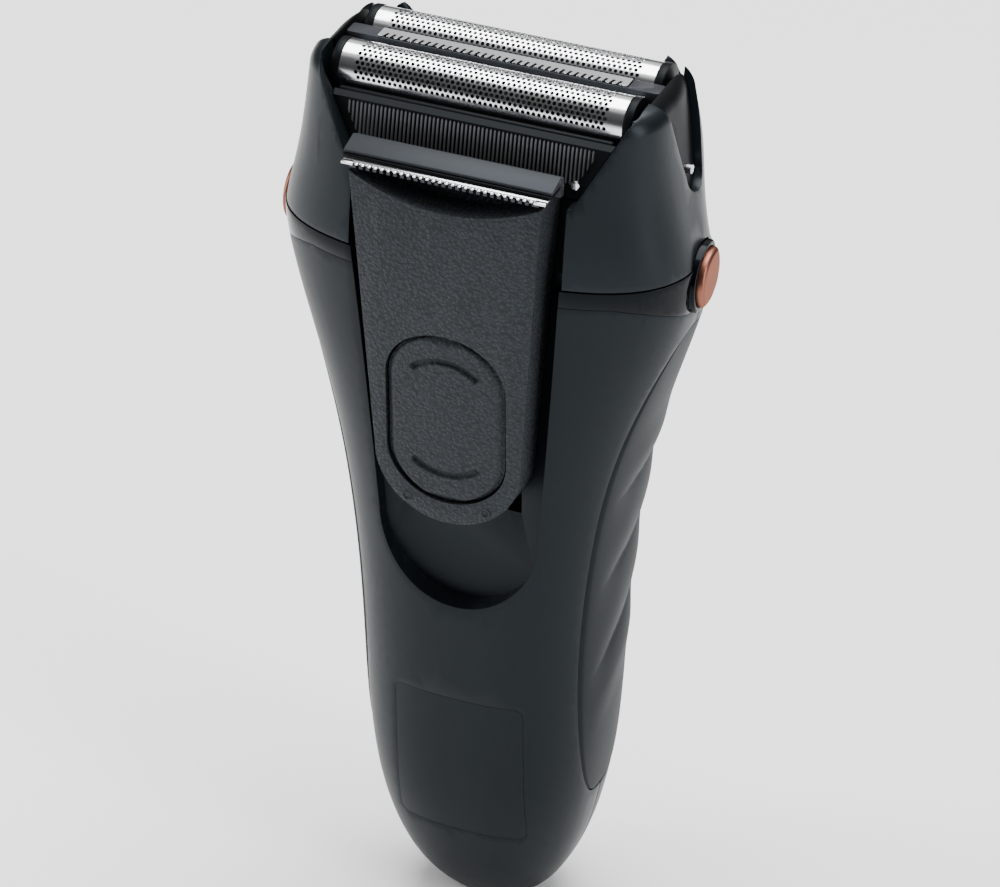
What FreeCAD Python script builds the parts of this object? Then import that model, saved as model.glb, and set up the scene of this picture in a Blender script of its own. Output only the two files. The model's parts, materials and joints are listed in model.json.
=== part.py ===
"""Foil shaver: two floating foils, a middle cutter bar, a pop-up trimmer and a
lift-off head on a waisted handle.

Millimetres. Origin: mouth of the charging socket, in the middle of the flat
underside. +Z up through the head, -Y towards the trimmer, +X to the user's
right when the trimmer faces them.
"""
import FreeCAD, Part
import math
import os

V = FreeCAD.Vector

# ---- handle -------------------------------------------------------------
# (height, half width, front depth, rear depth, front power, rear power)
HANDLE_STATIONS = [
    (0.0, 6.8, 5.6, 5.6, 2.1, 2.1),
    (1.5, 9.4, 7.4, 7.4, 2.2, 2.2),
    (4.0, 11.8, 9.3, 9.3, 2.3, 2.3),
    (8.0, 14.4, 11.5, 11.5, 2.4, 2.4),
    (14.0, 17.0, 13.6, 13.6, 2.5, 2.5),
    (24.0, 19.5, 15.9, 15.9, 2.6, 2.6),
    (40.0, 21.4, 17.1, 17.1, 2.6, 2.6),
    (60.0, 22.4, 17.8, 17.8, 2.6, 2.6),
    (78.0, 24.0, 18.4, 18.4, 2.6, 2.6),
    (92.0, 26.3, 18.8, 18.8, 2.6, 2.6),
    (104.0, 29.3, 19.1, 19.1, 2.6, 2.6),
    (114.0, 32.3, 19.4, 19.2, 2.6, 2.6),
    (122.0, 34.5, 19.8, 18.6, 2.6, 2.5),
    (133.0, 35.7, 20.4, 17.3, 2.8, 2.4),
]
SHELL_WALL = 1.9
CAVITY_FLOOR = 12.0
SEAM_HALF_GAP = 0.05
SECTION_POINTS = 32
INLAY_HALF_X = 11.7
INLAY_LOW = 19.6
INLAY_HIGH = 48.2
INLAY_ROUND = 1.6
INLAY_T = 0.55

# ---- band between handle and head ---------------------------------------
BAND_TOP = 133.0
BAND_FRONT_LOW = 129.8
BAND_SIDE_LOW = 124.2
BAND_SHOULDER_Y = 16.5
BAND_WALL = 2.2
BAND_FIT = 0.05
NECK_FIT = 0.6
SPIGOT_HALF_X = 26.2
SPIGOT_HALF_Y = 12.7
NECK_BORE_X = 21.0
NECK_BORE_Y = 9.0

# ---- recess that the trimmer slides in ----------------------------------
RECESS_FLOOR_Y = -14.1
RECESS_BOTTOM = 67.3
RECESS_BEND = 83.0
RECESS_LOW_HALF = 14.3
RECESS_TOP_HALF = 18.2
HEAD_RECESS_HALF = 18.5
RECESS_WALL = 1.6

# ---- head casing --------------------------------------------------------
HEAD_GAP = 0.2
HEAD_STATIONS = [
    (BAND_TOP + HEAD_GAP, 35.5, 20.3, 17.2, 2.8, 2.4),
    (140.0, 34.0, 19.7, 17.2, 2.9, 2.6),
    (148.0, 32.4, 18.7, 17.2, 3.0, 3.4),
    (155.0, 31.4, 17.6, 17.0, 3.2, 3.4),
    (162.0, 30.6, 16.4, 15.6, 3.4, 3.4),
]
HEAD_ROUND = 3.6
HEAD_WALL = 2.2
HEAD_Y = 0.8
WELL_HALF_X = 27.3
WELL_HALF_Y = 12.6
WELL_CORNER = 2.5
WELL_FIT = 0.3
CASSETTE_LOW = 147.2
CASSETTE_HIGH = 153.2
RAIL_HALF_X = 23.6
RAIL_WIDTH = 1.2
RAIL_TOP = 156.9
APRON_SCREW_X = 18.5
APRON_SCREW_Y = -13.35
APRON_SCREW_Z = 149.6
APRON_SCREW_R = 0.8
LEDGE_Z = 147.0
FRONT_OPEN_TOP_HALF = 26.6
SLOT_Y = 2.2
SLOT_BOTTOM = 144.0
SLOT_LOW_R = 3.5
SLOT_TOP_Z = 160.0
SLOT_TOP_HALF = 7.2
ARM_INSET = 1.3
ARM_PIN_R = 0.75

# ---- foils and cutters --------------------------------------------------
FOIL_PITCH_Y = 6.3
FOIL_R = 4.2
FOIL_T = 0.25
FOIL_CENTRE_Z = 158.0
FOIL_HALF_X = 24.4
FOIL_SKIRT_Z = 152.6
CAP_R = 4.3
CAP_T = 1.5
FOIL_TRAVEL = 1.5
CUTTER_R = 3.7
CUTTER_HALF_X = 21.6
CUTTER_BLADES = 26
STROKE = 0.9
BAR_CUTTER_HALF_Y = 0.85
BAR_HALF_X = 27.1
BAR_HALF_Y = 1.6
BAR_TOP = 161.2
BAR_LOW = 153.6
COMB_HALF_X = 21.6
COMB_HALF_Y = 1.3
COMB_TEETH = 34
COMB_SLANT = -14.0

# ---- trimmer ------------------------------------------------------------
PANEL_BACK_Y = -14.8
PANEL_TOP = 149.3
PANEL_TOP_HALF = 16.5
PANEL_LOW_HALF = 12.8
PANEL_BEND = 98.0
PANEL_BOTTOM = 86.3
PANEL_FACE_TOP_Y = -22.9
PANEL_FACE_LOW_Y = -20.6
PANEL_FACE_LOW_Z = 90.0
PANEL_CROWN = 1.4
TRIM_TRAVEL = 13.0
GUIDE_X = 9.0
GUIDE_STEM = 1.8
GUIDE_FOOT = 3.8
GUIDE_LOW = 100.0
GUIDE_HIGH = 106.0
OVAL_HALF_X = 10.2
OVAL_LOW = 90.6
OVAL_TOP = 122.0
OVAL_CAP = 9.0
BUTTON_GAP = 0.35
BUTTON_BACK_Y = -20.2
BUTTON_POCKET_Y = -18.9
LEAF_HALF_X = 2.0
LEAF_HALF_Z = 6.0
LEAF_T = 0.2
SCOOP_LOW = 145.4
SCOOP_BACK_Y = -18.6
BUTTON_PRESS = 0.8
BLOCK_HALF_X = 17.9
BLOCK_BACK_Y = -18.3
BLOCK_FRONT_Y = -22.1
BLOCK_TOP_BACK = 153.2
BLOCK_TOP_FRONT = 152.1
LIP_LOW = 151.0
LIP_HIGH = 151.5
BLADE_LOW = 150.5
BLADE_HIGH = 150.95
CUTTER_LOW = 149.95
CUTTER_HIGH = 150.45
BLADE_HALF_X = 17.5
BLADE_TIP_Y = -23.9
TRIM_TEETH = 28

# ---- release buttons ----------------------------------------------------
RELEASE_Y = -0.9
RELEASE_Z = 130.3
RELEASE_HALF_LONG = 5.1
RELEASE_HALF_WIDE = 3.6
RELEASE_TILT = 35.0
RELEASE_FACE_X = 37.2
RELEASE_BACK_X = 31.2
RELEASE_FLANGE = 0.6
RELEASE_FLANGE_T = 0.8
RELEASE_ROUND = 0.8
BEZEL_RIM = 1.0
BEZEL_FIT = 0.05
BEZEL_SLACK = 0.12
BEZEL_FACE_X = 36.0
BEZEL_BACK_X = 32.4
SPRING_SEAT_X = 29.0
RELEASE_LEAF_HALF_Y = 1.6
RELEASE_LEAF_HALF_Z = 4.6

# ---- side grips ---------------------------------------------------------
GRIP_Z = 73.2
GRIP_HALF_Z = 47.8
GRIP_HALF_Y = 11.0
GRIP_POWER = 2.9
GRIP_DEPTH = 1.0
GRIP_FIT = 0.06

# ---- drive and electrics ------------------------------------------------
MOTOR_R = 12.0
MOTOR_FLAT = 9.0
MOTOR_LOW = 88.0
MOTOR_HIGH = 118.0
SHAFT_R = 1.0
CRANK_OFFSET = 0.9
CELL_R = 7.1
CELL_LOW = 26.0
CELL_LENGTH = 49.0
SOCKET_BORE_R = 2.9
SOCKET_BORE_DEPTH = 9.5
SOCKET_R = 4.6
SOCKET_LENGTH = 14.0
CONTACT_R = 0.8
SCREW_R = 0.9
SCREW_HEAD_R = 1.9
SCREW_HEAD_T = 1.0
SCREW_LENGTH = 14.0
SCREW_BOSS_R = 2.7
SCREW_WELL_R = 2.1
SCREW_SEAT_Y = 7.0
CASE_SCREWS = [(-12.8, 20.0), (12.8, 20.0), (-20.0, 112.0), (20.0, 112.0)]
# swinging posts of the bridge: (x, y, radius, top)
POSTS = [
    (0.0, HEAD_Y - FOIL_PITCH_Y, 1.4, FOIL_CENTRE_Z - 4.2),
    (0.0, HEAD_Y + FOIL_PITCH_Y, 1.4, FOIL_CENTRE_Z - 4.2),
    (7.0, HEAD_Y, 0.8, 155.0),
]
DRIVE_PIN_R = 0.7
BRIDGE_LOW = 124.2
BRIDGE_HIGH = 126.4
PIN_Z = 125.5
SWITCH_Z = 93.3
# reach past every face, for cutting tools
FAR = 60.0


# ---- helpers ------------------------------------------------------------
def box(x0, x1, y0, y1, z0, z1):
    return Part.makeBox(x1 - x0, y1 - y0, z1 - z0, V(x0, y0, z0))


def cylinder(radius, height, base, axis):
    return Part.makeCylinder(radius, height, V(*base), V(*axis))


def fuse(pieces):
    whole = pieces[0].multiFuse(pieces[1:]) if len(pieces) > 1 else pieces[0]
    return whole.removeSplitter()


def cut(shape, tools):
    for tool in tools:
        shape = shape.cut(tool)
    return shape


def section(station, inset=0.0):
    """Closed superellipse whose front and rear halves may differ."""
    z, half_w, front, rear, front_power, rear_power = station
    points = []
    for i in range(SECTION_POINTS):
        angle = 2 * math.pi * i / SECTION_POINTS
        c, s = math.cos(angle), math.sin(angle)
        depth, power = (rear, rear_power) if s > 0 else (front, front_power)
        x = (half_w - inset) * math.copysign(abs(c) ** (2 / power), c)
        y = (depth - inset) * math.copysign(abs(s) ** (2 / power), s)
        points.append(V(x, y, z))
    curve = Part.BSplineCurve()
    curve.interpolate(points, PeriodicFlag=True)
    return Part.Wire([curve.toShape()])


def loft(stations, inset=0.0):
    return Part.makeLoft([section(s, inset) for s in stations], True, False)


def block_loft(half_w, half_d, low_z, high_z, power=3.0):
    """Upright block with rounded-rectangle ends."""
    ends = [(z, half_w, half_d, half_d, power, power) for z in (low_z, high_z)]
    return loft(ends)


def station_at(stations, z):
    """Straight interpolation between stations."""
    for low, high in zip(stations, stations[1:]):
        if low[0] <= z <= high[0]:
            t = (z - low[0]) / (high[0] - low[0])
            return tuple(a + t * (b - a) for a, b in zip(low, high))
    return stations[-1]


def prism_xz(edges, y0, y1):
    """Closed outline in the XZ plane, drawn at y = 0, swept from y0 to y1."""
    face = Part.Face(Part.Wire(edges))
    face.translate(V(0, y0, 0))
    return face.extrude(V(0, y1 - y0, 0))


def prism_yz(edges, x0, x1):
    """Closed outline in the YZ plane, drawn at x = 0, swept from x0 to x1."""
    face = Part.Face(Part.Wire(edges))
    face.translate(V(x0, 0, 0))
    return face.extrude(V(x1 - x0, 0, 0))


def polygon(points):
    return Part.makePolygon([V(*p) for p in points] + [V(*points[0])]).Edges


def line(a, b):
    return Part.makeLine(V(*a), V(*b))


def arc(a, b, c):
    return Part.Arc(V(*a), V(*b), V(*c)).toShape()


def half_oval(half_x, z, height, step=12):
    """Half ellipse from (+half_x, z) round to (-half_x, z)."""
    points = []
    for i in range(step + 1):
        angle = math.pi * i / step
        points.append(V(half_x * math.cos(angle), 0, z + height * math.sin(angle)))
    curve = Part.BSplineCurve()
    curve.interpolate(points)
    return curve.toShape()


def coil(radius, wire_r, turns, length, base, axis):
    """Round-wire compression spring."""
    helix = Part.makeHelix(length / turns, length, radius)
    ring = Part.Wire([Part.makeCircle(wire_r, V(radius, 0, 0), V(0, 1, 0))])
    spring = Part.Wire(helix.Edges).makePipeShell([ring], True, True)
    turn = FreeCAD.Rotation(V(0, 0, 1), V(*axis))
    spring.Placement = FreeCAD.Placement(V(*base), turn)
    return spring


def mirror_x(shape):
    return shape.mirror(V(0, 0, 0), V(1, 0, 0))


# ---- handle -------------------------------------------------------------
def recess_tool(grow=0.0, floor=RECESS_FLOOR_Y, top=BAND_TOP + 1.0):
    """Tapered slot with a rounded lower end, open to the front."""
    low = RECESS_LOW_HALF + grow
    high = RECESS_TOP_HALF + grow
    depth = RECESS_BEND - RECESS_BOTTOM + grow
    edges = [
        half_oval(low, RECESS_BEND, -depth),
        line((-low, 0, RECESS_BEND), (-high, 0, top)),
        line((-high, 0, top), (high, 0, top)),
        line((high, 0, top), (low, 0, RECESS_BEND)),
    ]
    return prism_xz(edges, -40.0, floor)


def head_recess(grow=0.0, floor=RECESS_FLOOR_Y, top=LEDGE_Z):
    """The recess carried on through the front of the head."""
    half = HEAD_RECESS_HALF + grow
    return box(-half, half, -40.0, floor, BAND_TOP - 2.0, top)


def band_region(lift=0.0):
    """Everything above the band's lower edge, which dips at the sides."""
    shoulder = BAND_SHOULDER_Y
    front = BAND_FRONT_LOW + lift
    side = BAND_SIDE_LOW + lift
    middle = side + 0.38 * (front - side)
    dip = Part.BSplineCurve()
    dip.interpolate([
        V(0, -shoulder, front),
        V(0, -shoulder / 2, middle),
        V(0, 0, side),
        V(0, shoulder / 2, middle),
        V(0, shoulder, front),
    ])
    top = BAND_TOP + 10.0
    edges = [
        line((0, -30, front), (0, -shoulder, front)),
        dip.toShape(),
        line((0, shoulder, front), (0, 30, front)),
        line((0, 30, front), (0, 30, top)),
        line((0, 30, top), (0, -30, top)),
        line((0, -30, top), (0, -30, front)),
    ]
    return prism_yz(edges, -50.0, 50.0)


def handle_cavity():
    stations = [station_at(HANDLE_STATIONS, CAVITY_FLOOR)]
    stations += [s for s in HANDLE_STATIONS if s[0] > CAVITY_FLOOR]
    cavity = loft(stations, SHELL_WALL)
    bosses = [recess_tool(RECESS_WALL, RECESS_FLOOR_Y + RECESS_WALL)]
    for x, z in CASE_SCREWS:
        bosses.append(cylinder(SCREW_BOSS_R, 60.0, (x, -30.0, z), (0, 1, 0)))
    return cut(cavity, bosses)


def grip_outline(grow, power=GRIP_POWER, step=28):
    points = []
    for i in range(step):
        angle = 2 * math.pi * i / step
        c, s = math.cos(angle), math.sin(angle)
        y = (GRIP_HALF_Y + grow) * math.copysign(abs(c) ** (2 / power), c)
        z = (GRIP_HALF_Z + grow) * math.copysign(abs(s) ** (2 / power), s)
        points.append(V(0, y, GRIP_Z + z))
    curve = Part.BSplineCurve()
    curve.interpolate(points, PeriodicFlag=True)
    return [curve.toShape()]


def grip_blank(outer, inset, grow):
    """The skin of the handle inside the grip's outline, right-hand side."""
    column = prism_yz(grip_outline(grow), 5.0, 45.0)
    inner = loft(HANDLE_STATIONS, inset)
    return outer.common(column).cut(inner)


def release_outline(grow):
    """Leaf with softly pointed ends, tilted back, drawn in the YZ plane."""
    long = RELEASE_HALF_LONG + grow
    wide = RELEASE_HALF_WIDE + grow
    low = V(0, 0, -long)
    high = V(0, 0, long)
    edges = [
        Part.Arc(low, V(0, -wide, 0), high).toShape(),
        Part.Arc(high, V(0, wide, 0), low).toShape(),
    ]
    for edge in edges:
        edge.rotate(V(0, 0, 0), V(1, 0, 0), -RELEASE_TILT)
        edge.translate(V(0, RELEASE_Y, RELEASE_Z))
    return edges


def release_notch(grow):
    """The leaf's outline carried straight down, so that the head lifts off."""
    points = []
    for edge in release_outline(grow):
        points += edge.discretize(24)
    front = min(points, key=lambda p: p.y)
    back = max(points, key=lambda p: p.y)
    above = sorted(
        (p for p in points if p.z >= front.z + (p.y - front.y) / (back.y - front.y)
         * (back.z - front.z)),
        key=lambda p: p.y,
    )
    low = 120.0
    outline = [(0, front.y, low)] + [(0, p.y, p.z) for p in above] + [(0, back.y, low)]
    clean = [outline[0]]
    for point in outline[1:]:
        if math.dist(point, clean[-1]) > 0.05:
            clean.append(point)
    return prism_yz(polygon(clean), 28.0, 45.0)


def release_parts():
    """Right-hand button with its flange, bezel and spring."""
    button = prism_yz(release_outline(0.0), RELEASE_BACK_X, RELEASE_FACE_X)
    rim = [e for e in button.Edges if e.BoundBox.XMin > RELEASE_FACE_X - 0.01]
    button = button.makeFillet(RELEASE_ROUND, rim)
    flange_top = RELEASE_BACK_X + RELEASE_FLANGE_T
    flange = prism_yz(release_outline(RELEASE_FLANGE), RELEASE_BACK_X, flange_top)
    bezel = prism_yz(release_outline(BEZEL_RIM), BEZEL_BACK_X, BEZEL_FACE_X)
    bezel = bezel.cut(prism_yz(release_outline(BEZEL_SLACK), 20.0, FAR))
    return fuse([button, flange]), bezel, build_release_spring()


def build_release_spring():
    """Bowed leaf between its seat in the handle and the button's back."""
    foot = SPRING_SEAT_X + 0.05
    crest = RELEASE_BACK_X - 0.05
    outline = []
    for lift in (0.0, LEAF_T):
        low = (foot + lift, 0, RELEASE_Z - RELEASE_LEAF_HALF_Z)
        high = (foot + lift, 0, RELEASE_Z + RELEASE_LEAF_HALF_Z)
        middle = (crest - LEAF_T + lift, 0, RELEASE_Z)
        outline.append((low, middle, high))
    (a0, a1, a2), (b0, b1, b2) = outline
    edges = [arc(a0, a1, a2), line(a2, b2), arc(b2, b1, b0), line(b0, a0)]
    y0, y1 = RELEASE_Y - RELEASE_LEAF_HALF_Y, RELEASE_Y + RELEASE_LEAF_HALF_Y
    return prism_xz(edges, y0, y1)


def build_handle():
    outer = loft(HANDLE_STATIONS)
    cavity = handle_cavity()
    recess = recess_tool()
    above_band = band_region()
    socket_hole = cylinder(SOCKET_R + 0.02, 30.0, (0, 0, -5.0), (0, 0, 1))
    body = cut(outer, [cavity, recess, above_band, socket_hole])
    inlay_hole = inlay_column(0.05).cut(loft(HANDLE_STATIONS, INLAY_T + 0.05))
    body = body.cut(inlay_hole)
    for side in (1, -1):
        bezel_hole = prism_yz(release_outline(BEZEL_RIM + BEZEL_FIT), 26.0, FAR)
        body = body.cut(bezel_hole if side > 0 else mirror_x(bezel_hole))
        pocket = grip_blank(loft(HANDLE_STATIONS, -1.0), GRIP_DEPTH + GRIP_FIT, GRIP_FIT)
        body = body.cut(pocket if side > 0 else mirror_x(pocket))

    front = body.common(box(-FAR, FAR, -FAR, -SEAM_HALF_GAP, -5, 140))
    rear = body.common(box(-FAR, FAR, SEAM_HALF_GAP, FAR, -5, 140))
    front = cut(front, recess_openings())
    for x, z in CASE_SCREWS:
        tip = (x, SCREW_SEAT_Y - SCREW_LENGTH - 0.5, z)
        shank = cylinder(SCREW_R + 0.1, SCREW_LENGTH + 1.0, tip, (0, 1, 0))
        well = cylinder(SCREW_WELL_R, 30.0, (x, SCREW_SEAT_Y, z), (0, 1, 0))
        front = front.cut(shank)
        rear = cut(rear, [shank, well])
    return front, rear, outer


def recess_openings():
    """Guide slots, drive-pin slot and switch hole in the recess floor."""
    y0, y1 = RECESS_FLOOR_Y - 2.0, RECESS_FLOOR_Y + 4.0
    swing = STROKE + 1.5
    tools = [box(-swing, swing, y0, y1, PIN_Z - 1.9, PIN_Z + 1.9)]
    for x in (-GUIDE_X, GUIDE_X):
        half = GUIDE_STEM / 2 + 0.3
        low = GUIDE_LOW - TRIM_TRAVEL - 0.7
        tools.append(box(x - half, x + half, y0, y1, low, GUIDE_HIGH + 0.7))
    tools.append(cylinder(3.1, 8.0, (0, y0, SWITCH_Z), (0, 1, 0)))
    return tools


def build_band(outer):
    ring = outer.common(band_region(BAND_FIT))
    ring = cut(ring, [loft(HANDLE_STATIONS, BAND_WALL), recess_tool()])
    hole = prism_yz(release_outline(BEZEL_RIM + BEZEL_FIT), 26.0, FAR)
    return cut(ring, [hole, mirror_x(hole)])


def inlay_column(grow):
    """Rounded rectangle on the lower front of the handle."""
    half = INLAY_HALF_X + grow
    slab = box(-half, half, -30, -5, INLAY_LOW - grow, INLAY_HIGH + grow)
    corners = [e for e in slab.Edges if e.BoundBox.YLength > 20]
    return slab.makeFillet(INLAY_ROUND + grow, corners)


def build_inlay(outer):
    plate = outer.common(inlay_column(0.0))
    return plate.cut(loft(HANDLE_STATIONS, INLAY_T))


def build_neck():
    """Lid of the handle cavity with the spigot that the head seats on."""
    low = station_at(HANDLE_STATIONS, 127.0)
    high = station_at(HANDLE_STATIONS, 129.4)
    lid = loft([low, high], BAND_WALL + NECK_FIT)
    neck = lid.fuse(block_loft(SPIGOT_HALF_X, SPIGOT_HALF_Y, 128.4, 141.0))
    bore = block_loft(NECK_BORE_X, NECK_BORE_Y, 120.0, 145.0)
    spring_bay = box(SPRING_SEAT_X, FAR, -8.6, 6.6, 122, 142)
    return cut(neck, [
        bore,
        recess_tool(RECESS_WALL + 0.1, RECESS_FLOOR_Y + RECESS_WALL + 0.1),
        head_recess(RECESS_WALL + 0.3, RECESS_FLOOR_Y + RECESS_WALL + 0.3),
        spring_bay,
        mirror_x(spring_bay),
    ]).removeSplitter()


def build_drive_seal():
    """Rubber diaphragm in the neck, with room for the swinging posts."""
    seal = block_loft(NECK_BORE_X - 0.1, NECK_BORE_Y - 0.1, 134.0, 135.6)
    holes = []
    for x, y, r, _ in POSTS:
        holes.append(cylinder(r + STROKE + 0.4, 10.0, (x, y, 130.0), (0, 0, 1)))
    return cut(seal, holes)


# ---- head ---------------------------------------------------------------
def front_opening(grow, low_z, y0, y1):
    """Vee above the ledge, where the ribbed apron shows."""
    ledge = HEAD_RECESS_HALF + 0.7 + grow
    top_z = 170.0
    slope = (FRONT_OPEN_TOP_HALF - HEAD_RECESS_HALF - 0.7) / (160.5 - LEDGE_Z)
    high = ledge + slope * (top_z - low_z)
    return prism_xz(polygon([
        (-ledge, 0, low_z), (-high, 0, top_z), (high, 0, top_z), (ledge, 0, low_z),
    ]), y0, y1)


def side_slot(grow):
    """U-shaped window, open at the top, in the right-hand cheek."""
    r = SLOT_LOW_R + grow
    centre = SLOT_BOTTOM + SLOT_LOW_R
    top = 170.0
    spread = (SLOT_TOP_HALF - SLOT_LOW_R) / (SLOT_TOP_Z - centre)
    half = r + spread * (top - centre)
    edges = [
        arc((0, SLOT_Y - r, centre), (0, SLOT_Y, centre - r), (0, SLOT_Y + r, centre)),
        line((0, SLOT_Y + r, centre), (0, SLOT_Y + half, top)),
        line((0, SLOT_Y + half, top), (0, SLOT_Y - half, top)),
        line((0, SLOT_Y - half, top), (0, SLOT_Y - r, centre)),
    ]
    return edges


def head_blank(inset=0.0):
    """Outer form of the head with its rounded top edge."""
    blank = loft(HEAD_STATIONS, inset)
    rim = [e for e in blank.Edges if e.BoundBox.ZMin > HEAD_STATIONS[-1][0] - 0.05]
    return blank.makeFillet(HEAD_ROUND, rim)


def build_head_casing():
    blank = head_blank()
    inner = [s for s in HEAD_STATIONS if s[0] < 150]
    inner[0] = (BAND_TOP - 1.0,) + inner[0][1:]
    inner[-1] = (145.0,) + inner[-1][1:]
    cavity = loft(inner, HEAD_WALL)
    cavity = cavity.cut(head_recess(RECESS_WALL, RECESS_FLOOR_Y + RECESS_WALL, 160.0))
    well = rounded_box(WELL_HALF_X, WELL_HALF_Y, 144.0, 170.0, WELL_CORNER)
    slot = prism_yz(side_slot(0.0), 20.0, FAR)
    notch = release_notch(BEZEL_RIM + 0.25)
    front_cut = head_recess()
    return cut(blank, [
        cavity,
        well,
        front_cut,
        front_opening(0.0, LEDGE_Z, -40.0, -11.0),
        front_opening(0.0, 153.6, 11.0, 40.0),
        slot,
        mirror_x(slot),
        notch,
        mirror_x(notch),
    ])


def rounded_box(half_x, half_y, low_z, high_z, r):
    """Block about the head's middle plane with rounded upright edges."""
    block = box(-half_x, half_x, HEAD_Y - half_y, HEAD_Y + half_y, low_z, high_z)
    upright = [
        e for e in block.Edges
        if e.BoundBox.ZLength > high_z - low_z - 0.01
    ]
    return block.makeFillet(r, upright)


def build_cassette():
    """Frame that drops into the head's well and carries the foils."""
    x1 = WELL_HALF_X - WELL_FIT
    y1 = WELL_HALF_Y - WELL_FIT
    outer = rounded_box(x1, y1, CASSETTE_LOW, CASSETTE_HIGH, WELL_CORNER - WELL_FIT)
    x2, y2 = x1 - 0.8, y1 - 1.2
    inner = box(-x2, x2, HEAD_Y - y2, HEAD_Y + y2, CASSETTE_LOW + 1.8, 160.0)
    windows = []
    for y in (HEAD_Y - FOIL_PITCH_Y, HEAD_Y, HEAD_Y + FOIL_PITCH_Y):
        windows.append(box(-12.0, 12.0, y - 2.4, y + 2.4, 140.0, 150.0))
    return cut(outer, [inner] + windows)


def build_rail(y_outer, y_inner):
    """Rounded rail along the foot of a foil."""
    y0, y1 = min(y_outer, y_inner), max(y_outer, y_inner)
    rail = box(-RAIL_HALF_X, RAIL_HALF_X, y0, y1, CASSETTE_HIGH + 0.05, RAIL_TOP)
    top = [
        e for e in rail.Edges
        if e.BoundBox.ZMin > RAIL_TOP - 0.1 and e.BoundBox.XLength > RAIL_HALF_X
    ]
    return rail.makeFillet((y1 - y0) * 0.49, top)


def build_apron():
    """Sloping plate under the front rail, with the two screws at its foot."""
    wall = 1.1
    profile = [
        (0, -11.55, 156.6), (0, -11.5 - wall, 156.0), (0, -14.4, 147.3), (0, -13.3, 147.3),
        (0, -11.55, 154.0),
    ]
    plate = prism_yz(polygon(profile), -30.0, 30.0)
    plate = plate.common(front_opening(-0.25, LEDGE_Z, -30.0, -5.0))
    screws, holes = [], []
    for x in (-APRON_SCREW_X, APRON_SCREW_X):
        foot = (x, APRON_SCREW_Y, APRON_SCREW_Z)
        screws.append(cylinder(APRON_SCREW_R, 0.9, foot, (0, -1, 0)))
        holes.append(cylinder(APRON_SCREW_R + 0.02, 5.0, foot, (0, -1, 0)))
    return cut(plate, holes), Part.makeCompound(screws)


def build_arm():
    """Gloss arm of the cassette that fills the cheek's window, set back a little."""
    arm = prism_yz(side_slot(-0.3), WELL_HALF_X + 0.1, FAR)
    return arm.common(head_blank(ARM_INSET))


def foil_unit(y):
    """Foil sheet, its frame with arched ends, and the cutter under it."""
    z = FOIL_CENTRE_Z
    full = (-FOIL_HALF_X, y, z)
    length = 2 * FOIL_HALF_X
    tube = cylinder(FOIL_R, length, full, (1, 0, 0))
    skirt = box(-FOIL_HALF_X, FOIL_HALF_X, y - FOIL_R, y + FOIL_R, FOIL_SKIRT_Z, z)
    inner_r = FOIL_R - FOIL_T
    hollow = cylinder(inner_r, length, full, (1, 0, 0))
    hollow = hollow.fuse(
        box(-FOIL_HALF_X, FOIL_HALF_X, y - inner_r, y + inner_r, FOIL_SKIRT_Z - 1, z)
    )
    foil = tube.fuse(skirt).removeSplitter().cut(hollow)

    ends = []
    low = FOIL_SKIRT_Z - 1.0
    for x in (-FOIL_HALF_X - CAP_T, FOIL_HALF_X + 0.02):
        disc = cylinder(CAP_R, CAP_T - 0.02, (x, y, z), (1, 0, 0))
        foot = box(x, x + CAP_T - 0.02, y - CAP_R, y + CAP_R, low, z)
        ends.append(disc.fuse(foot))
    reach = FOIL_HALF_X + CAP_T
    for side in (-1, 1):
        y_rail = y + side * (inner_r - 0.45)
        ends.append(box(-reach, reach, y_rail - 0.35, y_rail + 0.35, low, low + 2.2))
    frame = fuse(ends)

    blades = []
    gap = 2 * CUTTER_HALF_X / (CUTTER_BLADES - 1)
    thick = 0.45
    for i in range(CUTTER_BLADES):
        x = -CUTTER_HALF_X + i * gap - thick / 2
        disc = cylinder(CUTTER_R, thick, (x, y, z), (1, 0, 0))
        blades.append(disc.common(box(-30, 30, y - 5, y + 5, z - 0.6, z + 5)))
    blades.append(box(-CUTTER_HALF_X, CUTTER_HALF_X, y - 2.3, y + 2.3, z - 2.4, z + 0.6))
    blades.append(cylinder(DRIVE_PIN_R, 4.8, (0, y, z - 7.0), (0, 0, 1)))
    return foil, frame, fuse(blades)


def build_bar():
    """Middle bar: flat grey top, two skirts and end posts."""
    reach = BAR_HALF_X - 0.9
    low = BAR_LOW
    top = rounded_box(BAR_HALF_X, BAR_HALF_Y, BAR_TOP - 1.6, BAR_TOP, 0.5)
    y0, y1 = HEAD_Y - BAR_HALF_Y, HEAD_Y + BAR_HALF_Y
    bar = top.fuse(box(-reach, reach, y0, y1, low, BAR_TOP - 1.0))
    y0, y1 = HEAD_Y - BAR_HALF_Y + 0.45, HEAD_Y + BAR_HALF_Y - 0.45
    channel = box(-23.0, 23.0, y0, y1, low - 1, BAR_TOP - 1.0)
    half = COMB_HALF_X + 0.1
    y0, y1 = HEAD_Y - COMB_HALF_Y - 0.05, HEAD_Y + COMB_HALF_Y + 0.05
    seat = box(-half, half, y0, y1, BAR_TOP - 1.5, BAR_TOP + 1)
    return cut(bar, [channel, seat]).removeSplitter()


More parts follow.
